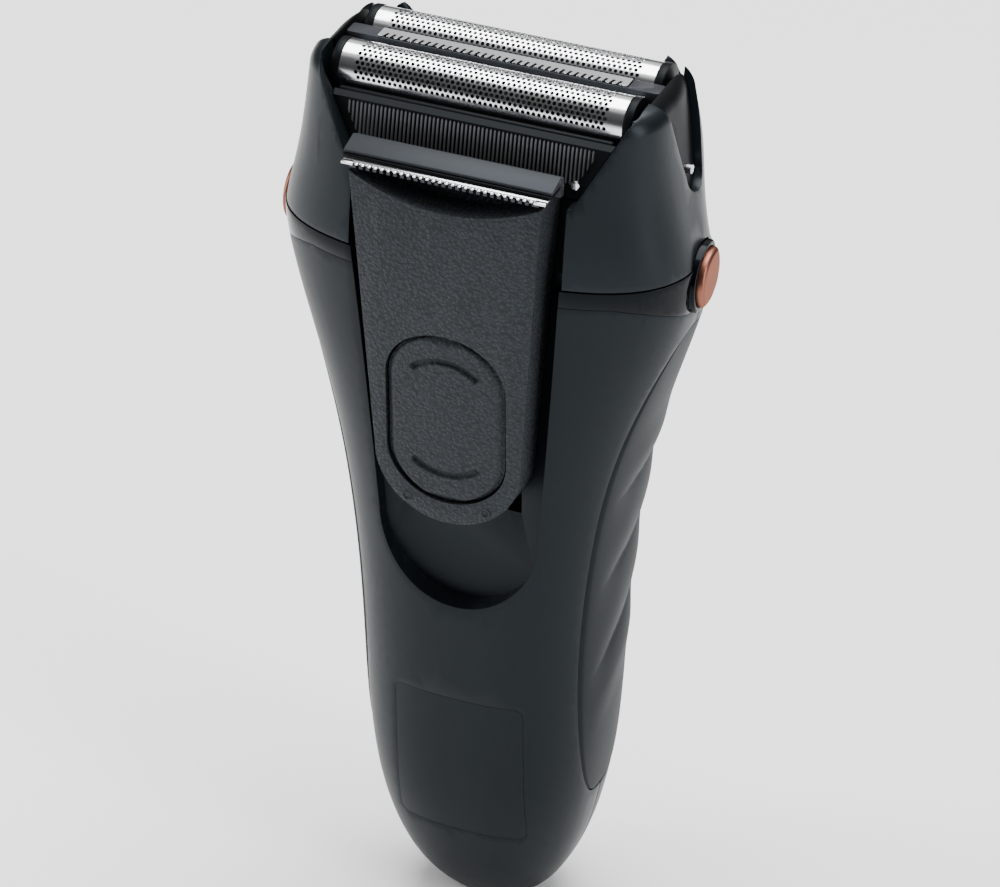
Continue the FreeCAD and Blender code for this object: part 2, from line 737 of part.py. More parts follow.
def build_comb():
    """Slotted plate in the middle bar, teeth to the front."""
    y0, y1 = HEAD_Y - COMB_HALF_Y, HEAD_Y + COMB_HALF_Y
    plate = box(-COMB_HALF_X, COMB_HALF_X, y0, y1, BAR_TOP - 0.95, BAR_TOP + 0.25)
    slots = []
    land = 0.8
    pitch = 2 * (COMB_HALF_X - land) / COMB_TEETH
    for i in range(COMB_TEETH):
        x = -COMB_HALF_X + land + (i + 0.5) * pitch
        slot = box(-0.26, 0.26, -1.3, 0.25, -2, 2)
        slot.rotate(V(0, 0, 0), V(0, 0, 1), COMB_SLANT)
        slot.translate(V(x, HEAD_Y - 0.45, BAR_TOP))
        slots.append(slot)
    return cut(plate, [Part.makeCompound(slots)])


def build_bar_cutter():
    """Narrow toothed blade that swings under the comb."""
    half = COMB_HALF_X - 1.4
    y0, y1 = HEAD_Y - BAR_CUTTER_HALF_Y, HEAD_Y + BAR_CUTTER_HALF_Y
    blade = box(-half, half, y0, y1, 156.2, BAR_TOP - 1.15)
    slots = []
    pitch = 1.1
    for i in range(int(2 * half / pitch) - 1):
        x = -half + (i + 1) * pitch
        slots.append(box(x - 0.3, x + 0.3, y0 - 1, y1 + 1, BAR_TOP - 2.4, BAR_TOP))
    blade = cut(blade, [Part.makeCompound(slots)])
    x, _, r, top = POSTS[2]
    ears = []
    for side in (-1, 1):
        near = x + side * (r + 0.1)
        x0, x1 = sorted((near, near + side * 1.2))
        ears.append(box(x0, x1, y0, y1, top - 1.1, top + 1.5))
    return fuse([blade] + ears)


# ---- drive --------------------------------------------------------------

def build_motor():
    can = cylinder(MOTOR_R, MOTOR_HIGH - MOTOR_LOW, (0, HEAD_Y, MOTOR_LOW), (0, 0, 1))
    flat = box(-20, 20, HEAD_Y - MOTOR_FLAT, HEAD_Y + MOTOR_FLAT, MOTOR_LOW - 1, MOTOR_HIGH + 1)
    nose = cylinder(3.0, 1.4, (0, HEAD_Y, MOTOR_HIGH), (0, 0, 1))
    bore = cylinder(SHAFT_R + 0.05, 60.0, (0, HEAD_Y, MOTOR_LOW + 2), (0, 0, 1))
    return can.common(flat).fuse(nose).removeSplitter().cut(bore)


def build_crank():
    """Motor shaft, and the crank with its offset pin."""
    shaft = cylinder(SHAFT_R, 121.0 - MOTOR_LOW - 3, (0, HEAD_Y, MOTOR_LOW + 3), (0, 0, 1))
    disc = cylinder(3.6, 2.0, (0, HEAD_Y, 121.0), (0, 0, 1))
    pin = cylinder(1.1, 4.0, (0, HEAD_Y + CRANK_OFFSET, 123.0), (0, 0, 1))
    return shaft, disc.fuse(pin).removeSplitter()


def build_bridge():
    """Swinging plate with one post for each cutter and the trimmer's pin."""
    pieces = [rounded_box(11.0, 8.0, BRIDGE_LOW, BRIDGE_HIGH, 2.0)]
    for x, y, r, top in POSTS:
        pieces.append(cylinder(r, top - 126.0, (x, y, 126.0), (0, 0, 1)))
    pieces.append(box(-1.4, 1.4, -13.6, HEAD_Y - 7, BRIDGE_LOW, BRIDGE_HIGH))
    pieces.append(cylinder(0.9, 4.4, (0, -17.2, PIN_Z), (0, 1, 0)))
    bores = [cylinder(3.3, 7.0, (0, HEAD_Y, 120.0), (0, 0, 1))]
    for x, y, r, top in POSTS[:2]:
        bores.append(cylinder(DRIVE_PIN_R + 0.1, 10.0, (x, y, top - 5.0), (0, 0, 1)))
    return cut(fuse(pieces), bores)


def build_chassis():
    """Back plate with shelves for the cell and the motor."""
    back = 11.2
    cell_top = CELL_LOW + CELL_LENGTH + 1.0
    pieces = [box(-9, 9, back, back + 1.4, CELL_LOW - 2.0, MOTOR_HIGH + 2.6)]
    for low in (CELL_LOW - 2.0, cell_top):
        pieces.append(box(-8.4, 8.4, -4.6, back, low, low + 2.0))
    pieces.append(box(-12, 12, -8, back, MOTOR_LOW - 2.2, MOTOR_LOW - 0.05))
    top = box(-12, 12, -8, back, MOTOR_HIGH + 0.05, MOTOR_HIGH + 1.6)
    pieces.append(top.cut(cylinder(3.1, 6, (0, HEAD_Y, MOTOR_HIGH - 2), (0, 0, 1))))
    return fuse(pieces)


def build_cell():
    cell = cylinder(CELL_R, CELL_LENGTH - 1.2, (0, 3.2, CELL_LOW + 0.5), (0, 0, 1))
    nub = cylinder(2.6, 0.6, (0, 3.2, CELL_LOW + CELL_LENGTH - 0.7), (0, 0, 1))
    tabs = []
    for z in (CELL_LOW + 0.05, CELL_LOW + CELL_LENGTH + 0.5):
        tabs.append(box(-4, 4, -1, 7.5, z, z + 0.3))
    return cell.fuse(nub).removeSplitter(), Part.makeCompound(tabs)


def build_electrics():
    board = box(-10, 10, -9.9, -8.7, 22, 112)
    switch = box(-3, 3, -12.2, -9.95, SWITCH_Z - 3, SWITCH_Z + 3)
    plunger = cylinder(1.5, 0.6, (0, -12.8, SWITCH_Z), (0, 1, 0))
    cap = cylinder(2.9, 0.7, (0, -14.35, SWITCH_Z), (0, 1, 0))
    cap = cap.fuse(cylinder(2.0, 0.8, (0, -13.7, SWITCH_Z), (0, 1, 0)))
    lights = [box(x - 0.8, x + 0.8, -10.9, -9.95, 33.2, 34.8) for x in (-6, -2, 2, 6)]
    return board, switch.fuse(plunger), cap.removeSplitter(), Part.makeCompound(lights)


def build_socket():
    barrel = cylinder(SOCKET_R, SOCKET_LENGTH, (0, 0, 0), (0, 0, 1))
    bore = cylinder(SOCKET_BORE_R, SOCKET_BORE_DEPTH + 1, (0, 0, -1), (0, 0, 1))
    shelf = cylinder(SOCKET_R + 1.4, 1.4, (0, 0, CAVITY_FLOOR + 0.3), (0, 0, 1))
    contact_hole = cylinder(CONTACT_R + 0.05, 20, (0, 0, 5), (0, 0, 1))
    socket = cut(barrel.fuse(shelf), [bore, contact_hole])
    contact = cylinder(CONTACT_R, 6.0, (0, 0, SOCKET_BORE_DEPTH + 0.1), (0, 0, 1))
    contact = contact.fuse(cylinder(1.6, 0.5, (0, 0, SOCKET_LENGTH + 1.1), (0, 0, 1)))
    return socket.removeSplitter(), contact.removeSplitter()


def case_screw(x, z):
    """Pan-head screw from the rear shell into the front one."""
    seat = (x, SCREW_SEAT_Y + 0.02, z)
    head = cylinder(SCREW_HEAD_R, SCREW_HEAD_T, seat, (0, 1, 0))
    return head.fuse(cylinder(SCREW_R, SCREW_LENGTH, seat, (0, -1, 0)))


# ---- trimmer ------------------------------------------------------------
def panel_outline(grow=0.0):
    low = PANEL_LOW_HALF + grow
    high = PANEL_TOP_HALF + grow
    depth = PANEL_BEND - PANEL_BOTTOM + grow
    return [
        half_oval(low, PANEL_BEND, -depth),
        line((-low, 0, PANEL_BEND), (-high, 0, PANEL_TOP)),
        line((-high, 0, PANEL_TOP), (high, 0, PANEL_TOP)),
        line((high, 0, PANEL_TOP), (low, 0, PANEL_BEND)),
    ]


def panel_front(z):
    """Depth of the panel's long edges at height z."""
    slope = (PANEL_FACE_TOP_Y - PANEL_FACE_LOW_Y) / (PANEL_TOP - PANEL_FACE_LOW_Z)
    return PANEL_FACE_LOW_Y + slope * (z - PANEL_FACE_LOW_Z)


def crown_solid(low_z=80.0, high_z=156.0):
    """Bar with a gently crowned front, leaning with the panel's face."""
    half = PANEL_TOP_HALF + 2.0
    y0 = panel_front(low_z)
    edges = [
        arc((-half, y0, low_z), (0, y0 - PANEL_CROWN, low_z), (half, y0, low_z)),
        line((half, y0, low_z), (half, 0, low_z)),
        line((half, 0, low_z), (-half, 0, low_z)),
        line((-half, 0, low_z), (-half, y0, low_z)),
    ]
    face = Part.Face(Part.Wire(edges))
    return face.extrude(V(0, panel_front(high_z) - y0, high_z - low_z))


def oval_outline(grow):
    half = OVAL_HALF_X + grow
    low = OVAL_LOW + OVAL_CAP
    high = OVAL_TOP - OVAL_CAP
    cap = OVAL_CAP + grow
    return [
        half_oval(half, low, -cap),
        line((-half, 0, low), (-half, 0, high)),
        half_oval(half, high, cap),
        line((half, 0, high), (half, 0, low)),
    ]


def build_panel():
    blank = prism_xz(panel_outline(), -40.0, PANEL_BACK_Y).common(crown_solid())
    blank = blank.cut(scoop_tool())
    button = prism_xz(oval_outline(0.0), -40.0, BUTTON_BACK_Y).common(blank)
    pocket = prism_xz(oval_outline(BUTTON_GAP), -40.0, BUTTON_POCKET_Y)
    lever_bay = box(-4.0, 4.0, -17.8, -10, 109.0, 160.0)
    return cut(blank, [pocket, lever_bay]), button


def scoop_tool():
    """Shallow arc cut into the panel's top edge, under the blade."""
    half = PANEL_TOP_HALF + 1.0
    rim = PANEL_TOP + 0.4
    edges = [
        arc((-half, 0, rim), (0, 0, SCOOP_LOW), (half, 0, rim)),
        line((half, 0, rim), (half, 0, 160)),
        line((half, 0, 160), (-half, 0, 160)),
        line((-half, 0, 160), (-half, 0, rim)),
    ]
    return prism_xz(edges, -40.0, SCOOP_BACK_Y)


def build_button_spring():
    """Bowed leaf between the pocket's floor and the button's back."""
    centre = (OVAL_LOW + OVAL_TOP) / 2
    foot = BUTTON_POCKET_Y - 0.05
    crest = BUTTON_BACK_Y + 0.05
    outline = []
    for lift in (0.0, LEAF_T):
        low = (0, foot - lift, centre - LEAF_HALF_Z)
        high = (0, foot - lift, centre + LEAF_HALF_Z)
        middle = (0, crest + LEAF_T - lift, centre)
        outline.append((low, middle, high))
    (a0, a1, a2), (b0, b1, b2) = outline
    edges = [arc(a0, a1, a2), line(a2, b2), arc(b2, b1, b0), line(b0, a0)]
    return prism_yz(edges, -LEAF_HALF_X, LEAF_HALF_X)


def build_guides():
    """Two hooks on the panel's back that run in the recess floor's slots."""
    stem_half = GUIDE_STEM / 2
    foot_half = GUIDE_FOOT / 2
    pieces = []
    for x in (-GUIDE_X, GUIDE_X):
        stem = box(x - stem_half, x + stem_half, -14.78, -11.6, GUIDE_LOW, GUIDE_HIGH)
        foot = box(x - foot_half, x + foot_half, -12.2, -11.3, GUIDE_LOW, GUIDE_HIGH)
        pieces.append(stem.fuse(foot).removeSplitter())
    return Part.makeCompound(pieces)


def build_block():
    """Grey cap over the trimmer blades, on two cheeks from the panel."""
    profile = [
        (0, BLOCK_BACK_Y, BLOCK_TOP_BACK), (0, BLOCK_FRONT_Y, BLOCK_TOP_FRONT),
        (0, BLOCK_FRONT_Y, LIP_HIGH + 0.05), (0, BLOCK_BACK_Y, LIP_HIGH + 0.05),
    ]
    cap = prism_yz(polygon(profile), -BLOCK_HALF_X, BLOCK_HALF_X)
    low = PANEL_TOP + 0.05
    y0, y1 = BLOCK_BACK_Y - 0.1, BLOCK_BACK_Y + 1.2
    back = box(-BLOCK_HALF_X, BLOCK_HALF_X, y0, y1, low, BLOCK_TOP_BACK - 0.6)
    foot = box(-PANEL_TOP_HALF, PANEL_TOP_HALF, BLOCK_BACK_Y, PANEL_BACK_Y, low, 151.0)
    block = fuse([cap, back, foot])
    return block.cut(box(-4.0, 4.0, -18.6, -10, 140.0, 150.6))


def build_lip():
    """Black strip that clamps the fixed blade under the block."""
    half = BLOCK_HALF_X - 0.1
    return box(-half, half, BLOCK_FRONT_Y - 0.35, BLOCK_BACK_Y - 0.15, LIP_LOW, LIP_HIGH)


def tooth_slots(half, tip_y, root_y, teeth, land=0.8):
    pitch = 2 * (half - land) / teeth
    low_z, high_z = CUTTER_LOW, BLADE_HIGH
    slots = []
    for i in range(teeth):
        x = -half + land + (i + 0.5) * pitch
        slots.append(box(x - 0.28, x + 0.28, tip_y - 1, root_y, low_z - 1, high_z + 1))
    return Part.makeCompound(slots)


def build_blades():
    """Fixed toothed blade above, swinging blade with its lever below."""
    fixed = box(-BLADE_HALF_X, BLADE_HALF_X, BLADE_TIP_Y, -18.6, BLADE_LOW, BLADE_HIGH)
    fixed = fixed.cut(tooth_slots(BLADE_HALF_X, BLADE_TIP_Y, BLADE_TIP_Y + 1.1, TRIM_TEETH))
    half = BLADE_HALF_X - 1.3
    tip = BLADE_TIP_Y + 0.35
    moving = box(-half, half, tip, -18.7, CUTTER_LOW, CUTTER_HIGH)
    moving = moving.cut(tooth_slots(half, tip, tip + 1.0, TRIM_TEETH - 2))
    lever_top = CUTTER_HIGH - 0.1
    tongue = box(-2.4, 2.4, -18.65, -15.9, CUTTER_LOW, lever_top)
    lever = box(-2.4, 2.4, -17.4, -15.9, PIN_Z - 3.5, lever_top)
    slot_low = PIN_Z - 1.1
    lever = lever.cut(box(-1.0, 1.0, -20, -10, slot_low, slot_low + TRIM_TRAVEL + 3.0))
    return fixed, moving, fuse([tongue, lever])


# ---- assembly -----------------------------------------------------------
def main():
    nodes = {}
    nodes["front_shell"], nodes["rear_shell"], outer = build_handle()
    nodes["latch_band"] = build_band(outer)
    nodes["front_inlay"] = build_inlay(outer)
    grip = grip_blank(outer, GRIP_DEPTH, 0.0)
    nodes["side_grip_right"] = grip
    nodes["side_grip_left"] = mirror_x(grip)
    button, bezel, spring = release_parts()
    for side, turn in (("right", lambda s: s), ("left", mirror_x)):
        nodes["release_button_" + side] = turn(button)
        nodes["button_bezel_" + side] = turn(bezel)
        nodes["release_spring_" + side] = turn(spring)
    nodes["neck_collar"] = build_neck()
    nodes["drive_seal"] = build_drive_seal()
    nodes["case_screws"] = Part.makeCompound([case_screw(x, z) for x, z in CASE_SCREWS])

    nodes["head_casing"] = build_head_casing()
    nodes["foil_cassette"] = build_cassette()
    y_out = WELL_HALF_Y - WELL_FIT
    nodes["front_rail"] = build_rail(HEAD_Y - y_out, HEAD_Y - y_out + RAIL_WIDTH)
    nodes["rear_rail"] = build_rail(HEAD_Y + y_out, HEAD_Y + y_out - RAIL_WIDTH)
    nodes["ribbed_apron"], nodes["apron_screws"] = build_apron()
    pin_foot = (WELL_HALF_X + 1.7, SLOT_Y, SLOT_BOTTOM + SLOT_LOW_R - 0.1)
    pin = cylinder(ARM_PIN_R, 3.0, pin_foot, (1, 0, 0))
    arm = build_arm().cut(cylinder(ARM_PIN_R + 0.02, 9.0, pin_foot, (1, 0, 0)))
    nodes["cassette_arms"] = Part.makeCompound([arm, mirror_x(arm)])
    nodes["arm_pins"] = Part.makeCompound([pin, mirror_x(pin)])

    for name, side in (("front", -1), ("rear", 1)):
        foil, frame, cutter = foil_unit(HEAD_Y + side * FOIL_PITCH_Y)
        nodes[name + "_foil"] = foil
        nodes[name + "_foil_frame"] = frame
        nodes[name + "_cutter"] = cutter
        base = (0, HEAD_Y + side * FOIL_PITCH_Y, FOIL_CENTRE_Z - 7.9)
        nodes[name + "_cutter_spring"] = coil(1.9, 0.22, 5, 5.1, base, (0, 0, 1))
    nodes["middle_bar"] = build_bar()
    nodes["middle_comb"] = build_comb()
    nodes["middle_cutter"] = build_bar_cutter()

    nodes["motor_can"] = build_motor()
    nodes["motor_shaft"], nodes["crank"] = build_crank()
    nodes["drive_bridge"] = build_bridge()
    nodes["inner_chassis"] = build_chassis()
    nodes["battery_cell"], nodes["battery_tabs"] = build_cell()
    (nodes["circuit_board"], nodes["power_switch"], nodes["switch_cap"],
     nodes["charge_lights"]) = build_electrics()
    nodes["charge_socket"], nodes["socket_contact"] = build_socket()

    nodes["trimmer_panel"], nodes["power_button"] = build_panel()
    nodes["button_spring"] = build_button_spring()
    nodes["panel_guides"] = build_guides()
    nodes["trimmer_block"] = build_block()
    nodes["trimmer_lip"] = build_lip()
    (nodes["trimmer_blade"], nodes["trimmer_cutter"],
     nodes["trimmer_lever"]) = build_blades()

    os.makedirs("parts", exist_ok=True)
    for name, shape in nodes.items():
        shape.exportStep("parts/" + name + ".step")
        solids = shape.Solids
        volume = sum(s.Volume for s in solids)
        print(f"{name:24s} solids {len(solids)}  volume {volume:9.1f}  valid {shape.isValid()}")


main()
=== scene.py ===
"""Looks of a cordless foil shaver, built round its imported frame.

Laid out as an add-on: property groups hold the sizes and colours, one operator
makes each piece or finish, and a panel lists them. Metres throughout.
"""

import json
import math

import bmesh
import bpy
from bpy.props import FloatProperty, FloatVectorProperty, IntProperty, PointerProperty
from mathutils import Matrix, Vector
from mathutils.bvhtree import BVHTree


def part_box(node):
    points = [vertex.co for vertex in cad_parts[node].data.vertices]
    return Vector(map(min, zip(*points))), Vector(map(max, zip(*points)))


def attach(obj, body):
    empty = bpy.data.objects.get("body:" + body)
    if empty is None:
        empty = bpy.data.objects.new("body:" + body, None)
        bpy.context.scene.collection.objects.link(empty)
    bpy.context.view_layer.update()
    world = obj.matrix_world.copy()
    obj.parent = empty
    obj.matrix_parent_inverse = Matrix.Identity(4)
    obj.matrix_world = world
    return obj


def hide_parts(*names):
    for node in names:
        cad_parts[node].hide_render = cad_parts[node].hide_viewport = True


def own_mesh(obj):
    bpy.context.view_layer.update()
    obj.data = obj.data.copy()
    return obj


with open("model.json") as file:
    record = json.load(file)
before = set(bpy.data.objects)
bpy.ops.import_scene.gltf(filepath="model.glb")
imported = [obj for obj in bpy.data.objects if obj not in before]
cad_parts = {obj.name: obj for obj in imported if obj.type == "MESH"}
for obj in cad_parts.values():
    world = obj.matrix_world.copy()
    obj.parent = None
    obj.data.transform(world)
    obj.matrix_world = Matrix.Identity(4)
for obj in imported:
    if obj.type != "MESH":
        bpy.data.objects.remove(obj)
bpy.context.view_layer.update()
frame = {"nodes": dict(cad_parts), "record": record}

bl_info = {
    "name": "Foil shaver finishes",
    "version": (1, 0, 0),
    "blender": (4, 5, 0),
    "location": "View3D > Sidebar > Shaver",
    "description": "Perforated foils, ribbed apron, grips and finishes of a foil shaver",
    "category": "Object",
}

MM = 0.001
BODY_OF = {
    node: body
    for body, nodes in frame["record"]["behaviour"]["bodies"].items()
    for node in nodes
}
SLOT_OF = {row["node"]: row["material_slot"] for row in frame["record"]["subparts"]}


# ---- node trees written as expressions ------------------------------------
class Wire:
    """An output socket whose arithmetic adds Math nodes to its tree."""

    def __init__(self, net, socket):
        self.net = net
        self.socket = socket

    def math(self, operation, *others):
        values = dict(enumerate((self,) + others))
        return self.net.add("ShaderNodeMath", {"operation": operation}, values)

    def __add__(self, other):
        return self.math("ADD", other)

    __radd__ = __add__

    def __sub__(self, other):
        return self.math("SUBTRACT", other)

    def __rsub__(self, other):
        values = {0: other, 1: self}
        return self.net.add("ShaderNodeMath", {"operation": "SUBTRACT"}, values)

    def __mul__(self, other):
        return self.math("MULTIPLY", other)

    def __truediv__(self, other):
        return self.math("DIVIDE", other)

    def __gt__(self, other):
        return self.math("GREATER_THAN", other)

    def __lt__(self, other):
        return self.math("LESS_THAN", other)

    def clamped(self, low, high):
        return self.math("MAXIMUM", low).math("MINIMUM", high)


class Net:
    """A node tree under construction."""

    def __init__(self, tree):
        self.tree = tree

    def add(self, kind, settings=None, values=None, out=0):
        node = self.tree.nodes.new(kind)
        for key, value in (settings or {}).items():
            if key == "stops":
                self.set_stops(node.color_ramp, value)
            else:
                setattr(node, key, value)
        for key, value in (values or {}).items():
            self.feed(node.inputs[key], value)
        return Wire(self, node.outputs[out])

    def feed(self, socket, value):
        if isinstance(value, Wire):
            self.tree.links.new(value.socket, socket)
        else:
            socket.default_value = value

    def parts_of(self, vector):
        """The X, Y and Z of a vector."""
        node = self.tree.nodes.new("ShaderNodeSeparateXYZ")
        self.feed(node.inputs[0], vector)
        return [Wire(self, socket) for socket in node.outputs]

    @staticmethod
    def set_stops(ramp, stops):
        while len(ramp.elements) < len(stops):
            ramp.elements.new(1.0)
        for element, (position, shade) in zip(ramp.elements, stops):
            element.position = position
            element.color = (shade, shade, shade, 1.0)


def rgba(colour, gain=1.0):
    return tuple(min(1.0, c * gain) for c in colour) + (1.0,)


class Finish(Net):
    """A surface material with one Principled shader, on Object coordinates."""

    def __init__(self, name, **constants):
        self.material = bpy.data.materials.new(name)
        self.material.use_nodes = True
        super().__init__(self.material.node_tree)
        self.shader = next(n for n in self.tree.nodes if n.type == "BSDF_PRINCIPLED")
        for key, value in constants.items():
            self.shader.inputs[key.replace("_", " ")].default_value = value
        self.place = self.add("ShaderNodeTexCoord", out="Object")

    def noise(self, size, detail=2.0, rough=0.5, stretch=(1.0, 1.0, 1.0)):
        """Smooth noise from 0 to 1 whose features are about size across."""
        place = self.add("ShaderNodeMapping", None, {"Vector": self.place, "Scale": stretch})
        return self.add("ShaderNodeTexNoise", None, {
            "Vector": place, "Scale": 1.0 / size, "Detail": detail, "Roughness": rough,
        })

    def cells(self, size):
        """Rounded cells, 0 at their middles."""
        warped = self.add("ShaderNodeTexNoise", None, {
            "Vector": self.place, "Scale": 0.8 / size, "Detail": 2.0,
        }, out="Color")
        place = self.add("ShaderNodeVectorMath", {"operation": "MULTIPLY_ADD"}, {
            0: warped, 1: (size * 1.3,) * 3, 2: self.place,
        })
        settings = {"feature": "SMOOTH_F1"}
        values = {"Vector": place, "Scale": 1.0 / size, "Smoothness": 0.35}
        return self.add("ShaderNodeTexVoronoi", settings, values)

    def blend(self, low, high, factor):
        """Colour from low to high."""
        node = self.tree.nodes.new("ShaderNodeMix")
        node.data_type = "RGBA"
        colour_in = [s for s in node.inputs if s.type == "RGBA"]
        self.feed(node.inputs[0], factor)
        self.feed(colour_in[0], low)
        self.feed(colour_in[1], high)
        return Wire(self, next(s for s in node.outputs if s.type == "RGBA"))

    def colour(self, value):
        self.feed(self.shader.inputs["Base Color"], value)

    def roughness(self, value):
        self.feed(self.shader.inputs["Roughness"], value)

    def bump(self, height, depth, strength):
        values = {"Height": height, "Distance": depth, "Strength": strength}
        self.feed(self.shader.inputs["Normal"], self.add("ShaderNodeBump", None, values))


# ---- finishes --------------------------------------------------------------
COOL = (0.78, 0.9, 1.0, 1.0)        # tint of the reflections on plastic


def soft_touch(name, colour, rough, shine=0.14):
    """Satin moulded skin: a faint cloud in tone and a very fine tooth."""
    f = Finish(name, Specular_IOR_Level=shine, Specular_Tint=COOL)
    cloud = f.noise(0.018, 3.0, 0.55)
    tooth = f.noise(0.00022, 2.0, 0.6)
    handled = f.noise(0.045, 2.0, 0.5, (1.0, 1.0, 0.5))
    f.colour(f.blend(rgba(colour, 0.88), rgba(colour, 1.14), cloud))
    f.roughness((rough - 0.06) + handled * 0.09 + tooth * 0.05)
    f.bump(tooth, 0.000012, 0.5)
    return f.material


def leather_grain(name, colour):
    """Moulded leather grain: small pebbles with rougher creases, with painted shade darkening
    the creases and a painted highlight lightening the crests.
    """
    f = Finish(name, Specular_IOR_Level=0.26, Specular_Tint=COOL)
    pebble = f.cells(0.00062)
    fine = f.noise(0.00024, 3.0, 0.6)
    height = (1.0 - pebble.math("MINIMUM", 1.0)) * 0.8 + fine * 0.45
    crest = ((height - 0.45) * 1.8).clamped(0.0, 1.0)
    # painted shade in the grain's creases and painted highlight on its crests, set by crest
    # height
    f.colour(f.blend(rgba(colour, 0.62), rgba(colour, 1.3), crest))
    f.roughness(0.56 - crest * 0.16)
    f.bump(height, 0.00018, 1.0)
    return f.material


def polished(name, colour, rough=0.09):
    """Polished plastic with the faint haze of handling."""
    f = Finish(name, Specular_IOR_Level=0.1, Specular_Tint=COOL)
    haze = f.noise(0.009, 4.0, 0.6)
    hair = f.noise(0.00035, 2.0, 0.5, (1.0, 1.0, 0.15))
    f.colour(f.blend(rgba(colour, 0.8), rgba(colour, 1.3), haze))
    f.roughness(rough + haze * 0.07 + hair * 0.03)
    f.bump(haze, 0.00002, 0.15)
    return f.material


def rubber(name, colour):
    """Matt rubber with a fine spark-eroded texture."""
    f = Finish(name, Specular_IOR_Level=0.15, Specular_Tint=COOL)
    grain = f.noise(0.00028, 3.0, 0.65)
    cloud = f.noise(0.014, 2.0)
    f.colour(f.blend(rgba(colour, 0.85), rgba(colour, 1.2), cloud))
    f.roughness(0.5 + grain * 0.12)
    f.bump(grain, 0.00003, 0.6)
    return f.material


def metal(name, colour, rough, size, stretch, depth=0.000004, edge=(1.0, 1.0, 1.0)):
    """Metal with lines or mottling of the given size and direction."""
    f = Finish(name, Metallic=1.0, Specular_Tint=rgba(edge))
    line = f.noise(size, 3.0, 0.6, stretch)
    cloud = f.noise(0.006, 2.0)
    f.colour(f.blend(rgba(colour, 0.91), rgba(colour, 1.06), cloud))
    f.roughness(rough - 0.04 + line * 0.08 + cloud * 0.04)
    f.bump(line, depth, 0.6)
    return f.material


def board_finish(name, colour):
    """Solder mask with tracks showing through."""
    f = Finish(name)
    track = f.noise(0.0021, 0.0, 0.5, (3.0, 3.0, 0.25)) > 0.53
    f.colour(f.blend(rgba(colour), rgba(colour, 1.9), track))
    f.roughness(0.3 + f.noise(0.001, 2.0) * 0.1)
    f.bump(track, 0.00003, 0.4)
    return f.material


def lens(name, colour):
    """Clear plastic of the charge lights, slightly clouded."""
    f = Finish(name, Transmission_Weight=0.7, IOR=1.49)
    f.colour(f.blend(rgba(colour, 0.9), rgba(colour), f.noise(0.0006)))
    f.roughness(0.12 + f.noise(0.0004) * 0.1)
    return f.material


def make_finishes(look):
    """A material for every slot of the record, and two for LOOK_OF and the ribs."""
    body = tuple(look.body_colour)
    return {
        "soft_touch": soft_touch("soft_touch", body, look.body_rough),
        "head_plastic": soft_touch("head_plastic", body, look.body_rough - 0.07, 0.19),
        "grained": leather_grain("grained", tuple(look.panel_colour)),
        "gloss_black": polished("gloss_black", (0.0014, 0.0016, 0.0019)),
        "grip_rubber": rubber("grip_rubber", tuple(look.grip_colour)),
        "copper": metal(
            "copper", tuple(look.copper_colour), 0.36, 0.0004, (1, 1, 1), 0.000006,
            (0.75, 0.6, 0.55)),
        "grey_satin": soft_touch("grey_satin", tuple(look.block_colour), 0.42),
        "black_plastic": soft_touch("black_plastic", (0.003, 0.0032, 0.0035), 0.38, 0.08),
        "rib_plastic": soft_touch("rib_plastic", (0.045, 0.045, 0.047), 0.36, 0.5),
        "cutter_steel": metal("cutter_steel", (0.05, 0.052, 0.058), 0.4, 0.0002, (1, 1, 0.1)),
        "foil_steel": metal("foil_steel", (0.86, 0.87, 0.89), 0.14, 0.0002, (0.06, 1, 1)),
        "blade_steel": metal("blade_steel", (0.78, 0.79, 0.81), 0.17, 0.0001, (0.05, 1, 1)),
        "steel": metal("steel", (0.62, 0.63, 0.65), 0.3, 0.0002, (1, 1, 0.1)),
        "brass": metal("brass", (0.72, 0.53, 0.25), 0.25, 0.0003, (1, 1, 1)),
        "board": board_finish("board", (0.02, 0.12, 0.055)),
        "cell_wrap": polished("cell_wrap", (0.03, 0.09, 0.19), 0.2),
        "light_lens": lens("light_lens", (0.85, 0.95, 0.88)),
        "nylon": soft_touch("nylon", (0.55, 0.55, 0.5), 0.4),
    }


# ---- mesh helpers ----------------------------------------------------------
MERGE = 0.002 * MM                  # vertices of the frame nearer than this are one
FLAT_DEGREES = 0.6                  # faces meeting flatter than this become one
SHARP_DEGREES = 38.0                # edges sharper than this are rounded over
RAY_START = 0.06                    # outside the whole shaver, for rays going inwards

# Nodes that wear another finish than their slot's.
LOOK_OF = {
    "front_cutter": "cutter_steel", "rear_cutter": "cutter_steel",
    "middle_cutter": "cutter_steel", "trimmer_cutter": "cutter_steel",
    "cassette_arms": "black_plastic", "middle_comb": "foil_steel",
    "front_rail": "black_plastic", "rear_rail": "black_plastic",
}


def finish_of(node):
    return FINISHES[LOOK_OF.get(node, SLOT_OF[node])]


def placed(name, data):
    """A new object in the scene."""
    thing = bpy.data.objects.new(name, data)
    bpy.context.scene.collection.objects.link(thing)
    return thing


def mesh_from(work, name):
    """A new mesh of the finished work, which is freed."""
    mesh = bpy.data.meshes.new(name)
    work.to_mesh(mesh)
    work.free()
    return mesh


def new_piece(name, mesh, finish):
    piece = placed(name, mesh)
    piece.data.materials.clear()
    piece.data.materials.append(finish)
    return piece


def stand_for(piece, node):
    """The piece takes the node's place and body."""
    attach(piece, BODY_OF[node])
    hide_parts(node)


def bake(piece):
    """Apply the modifiers of a piece to its mesh."""
    graph = bpy.context.evaluated_depsgraph_get()
    mesh = bpy.data.meshes.new_from_object(piece.evaluated_get(graph), depsgraph=graph)
    piece.modifiers.clear()
    piece.data = mesh


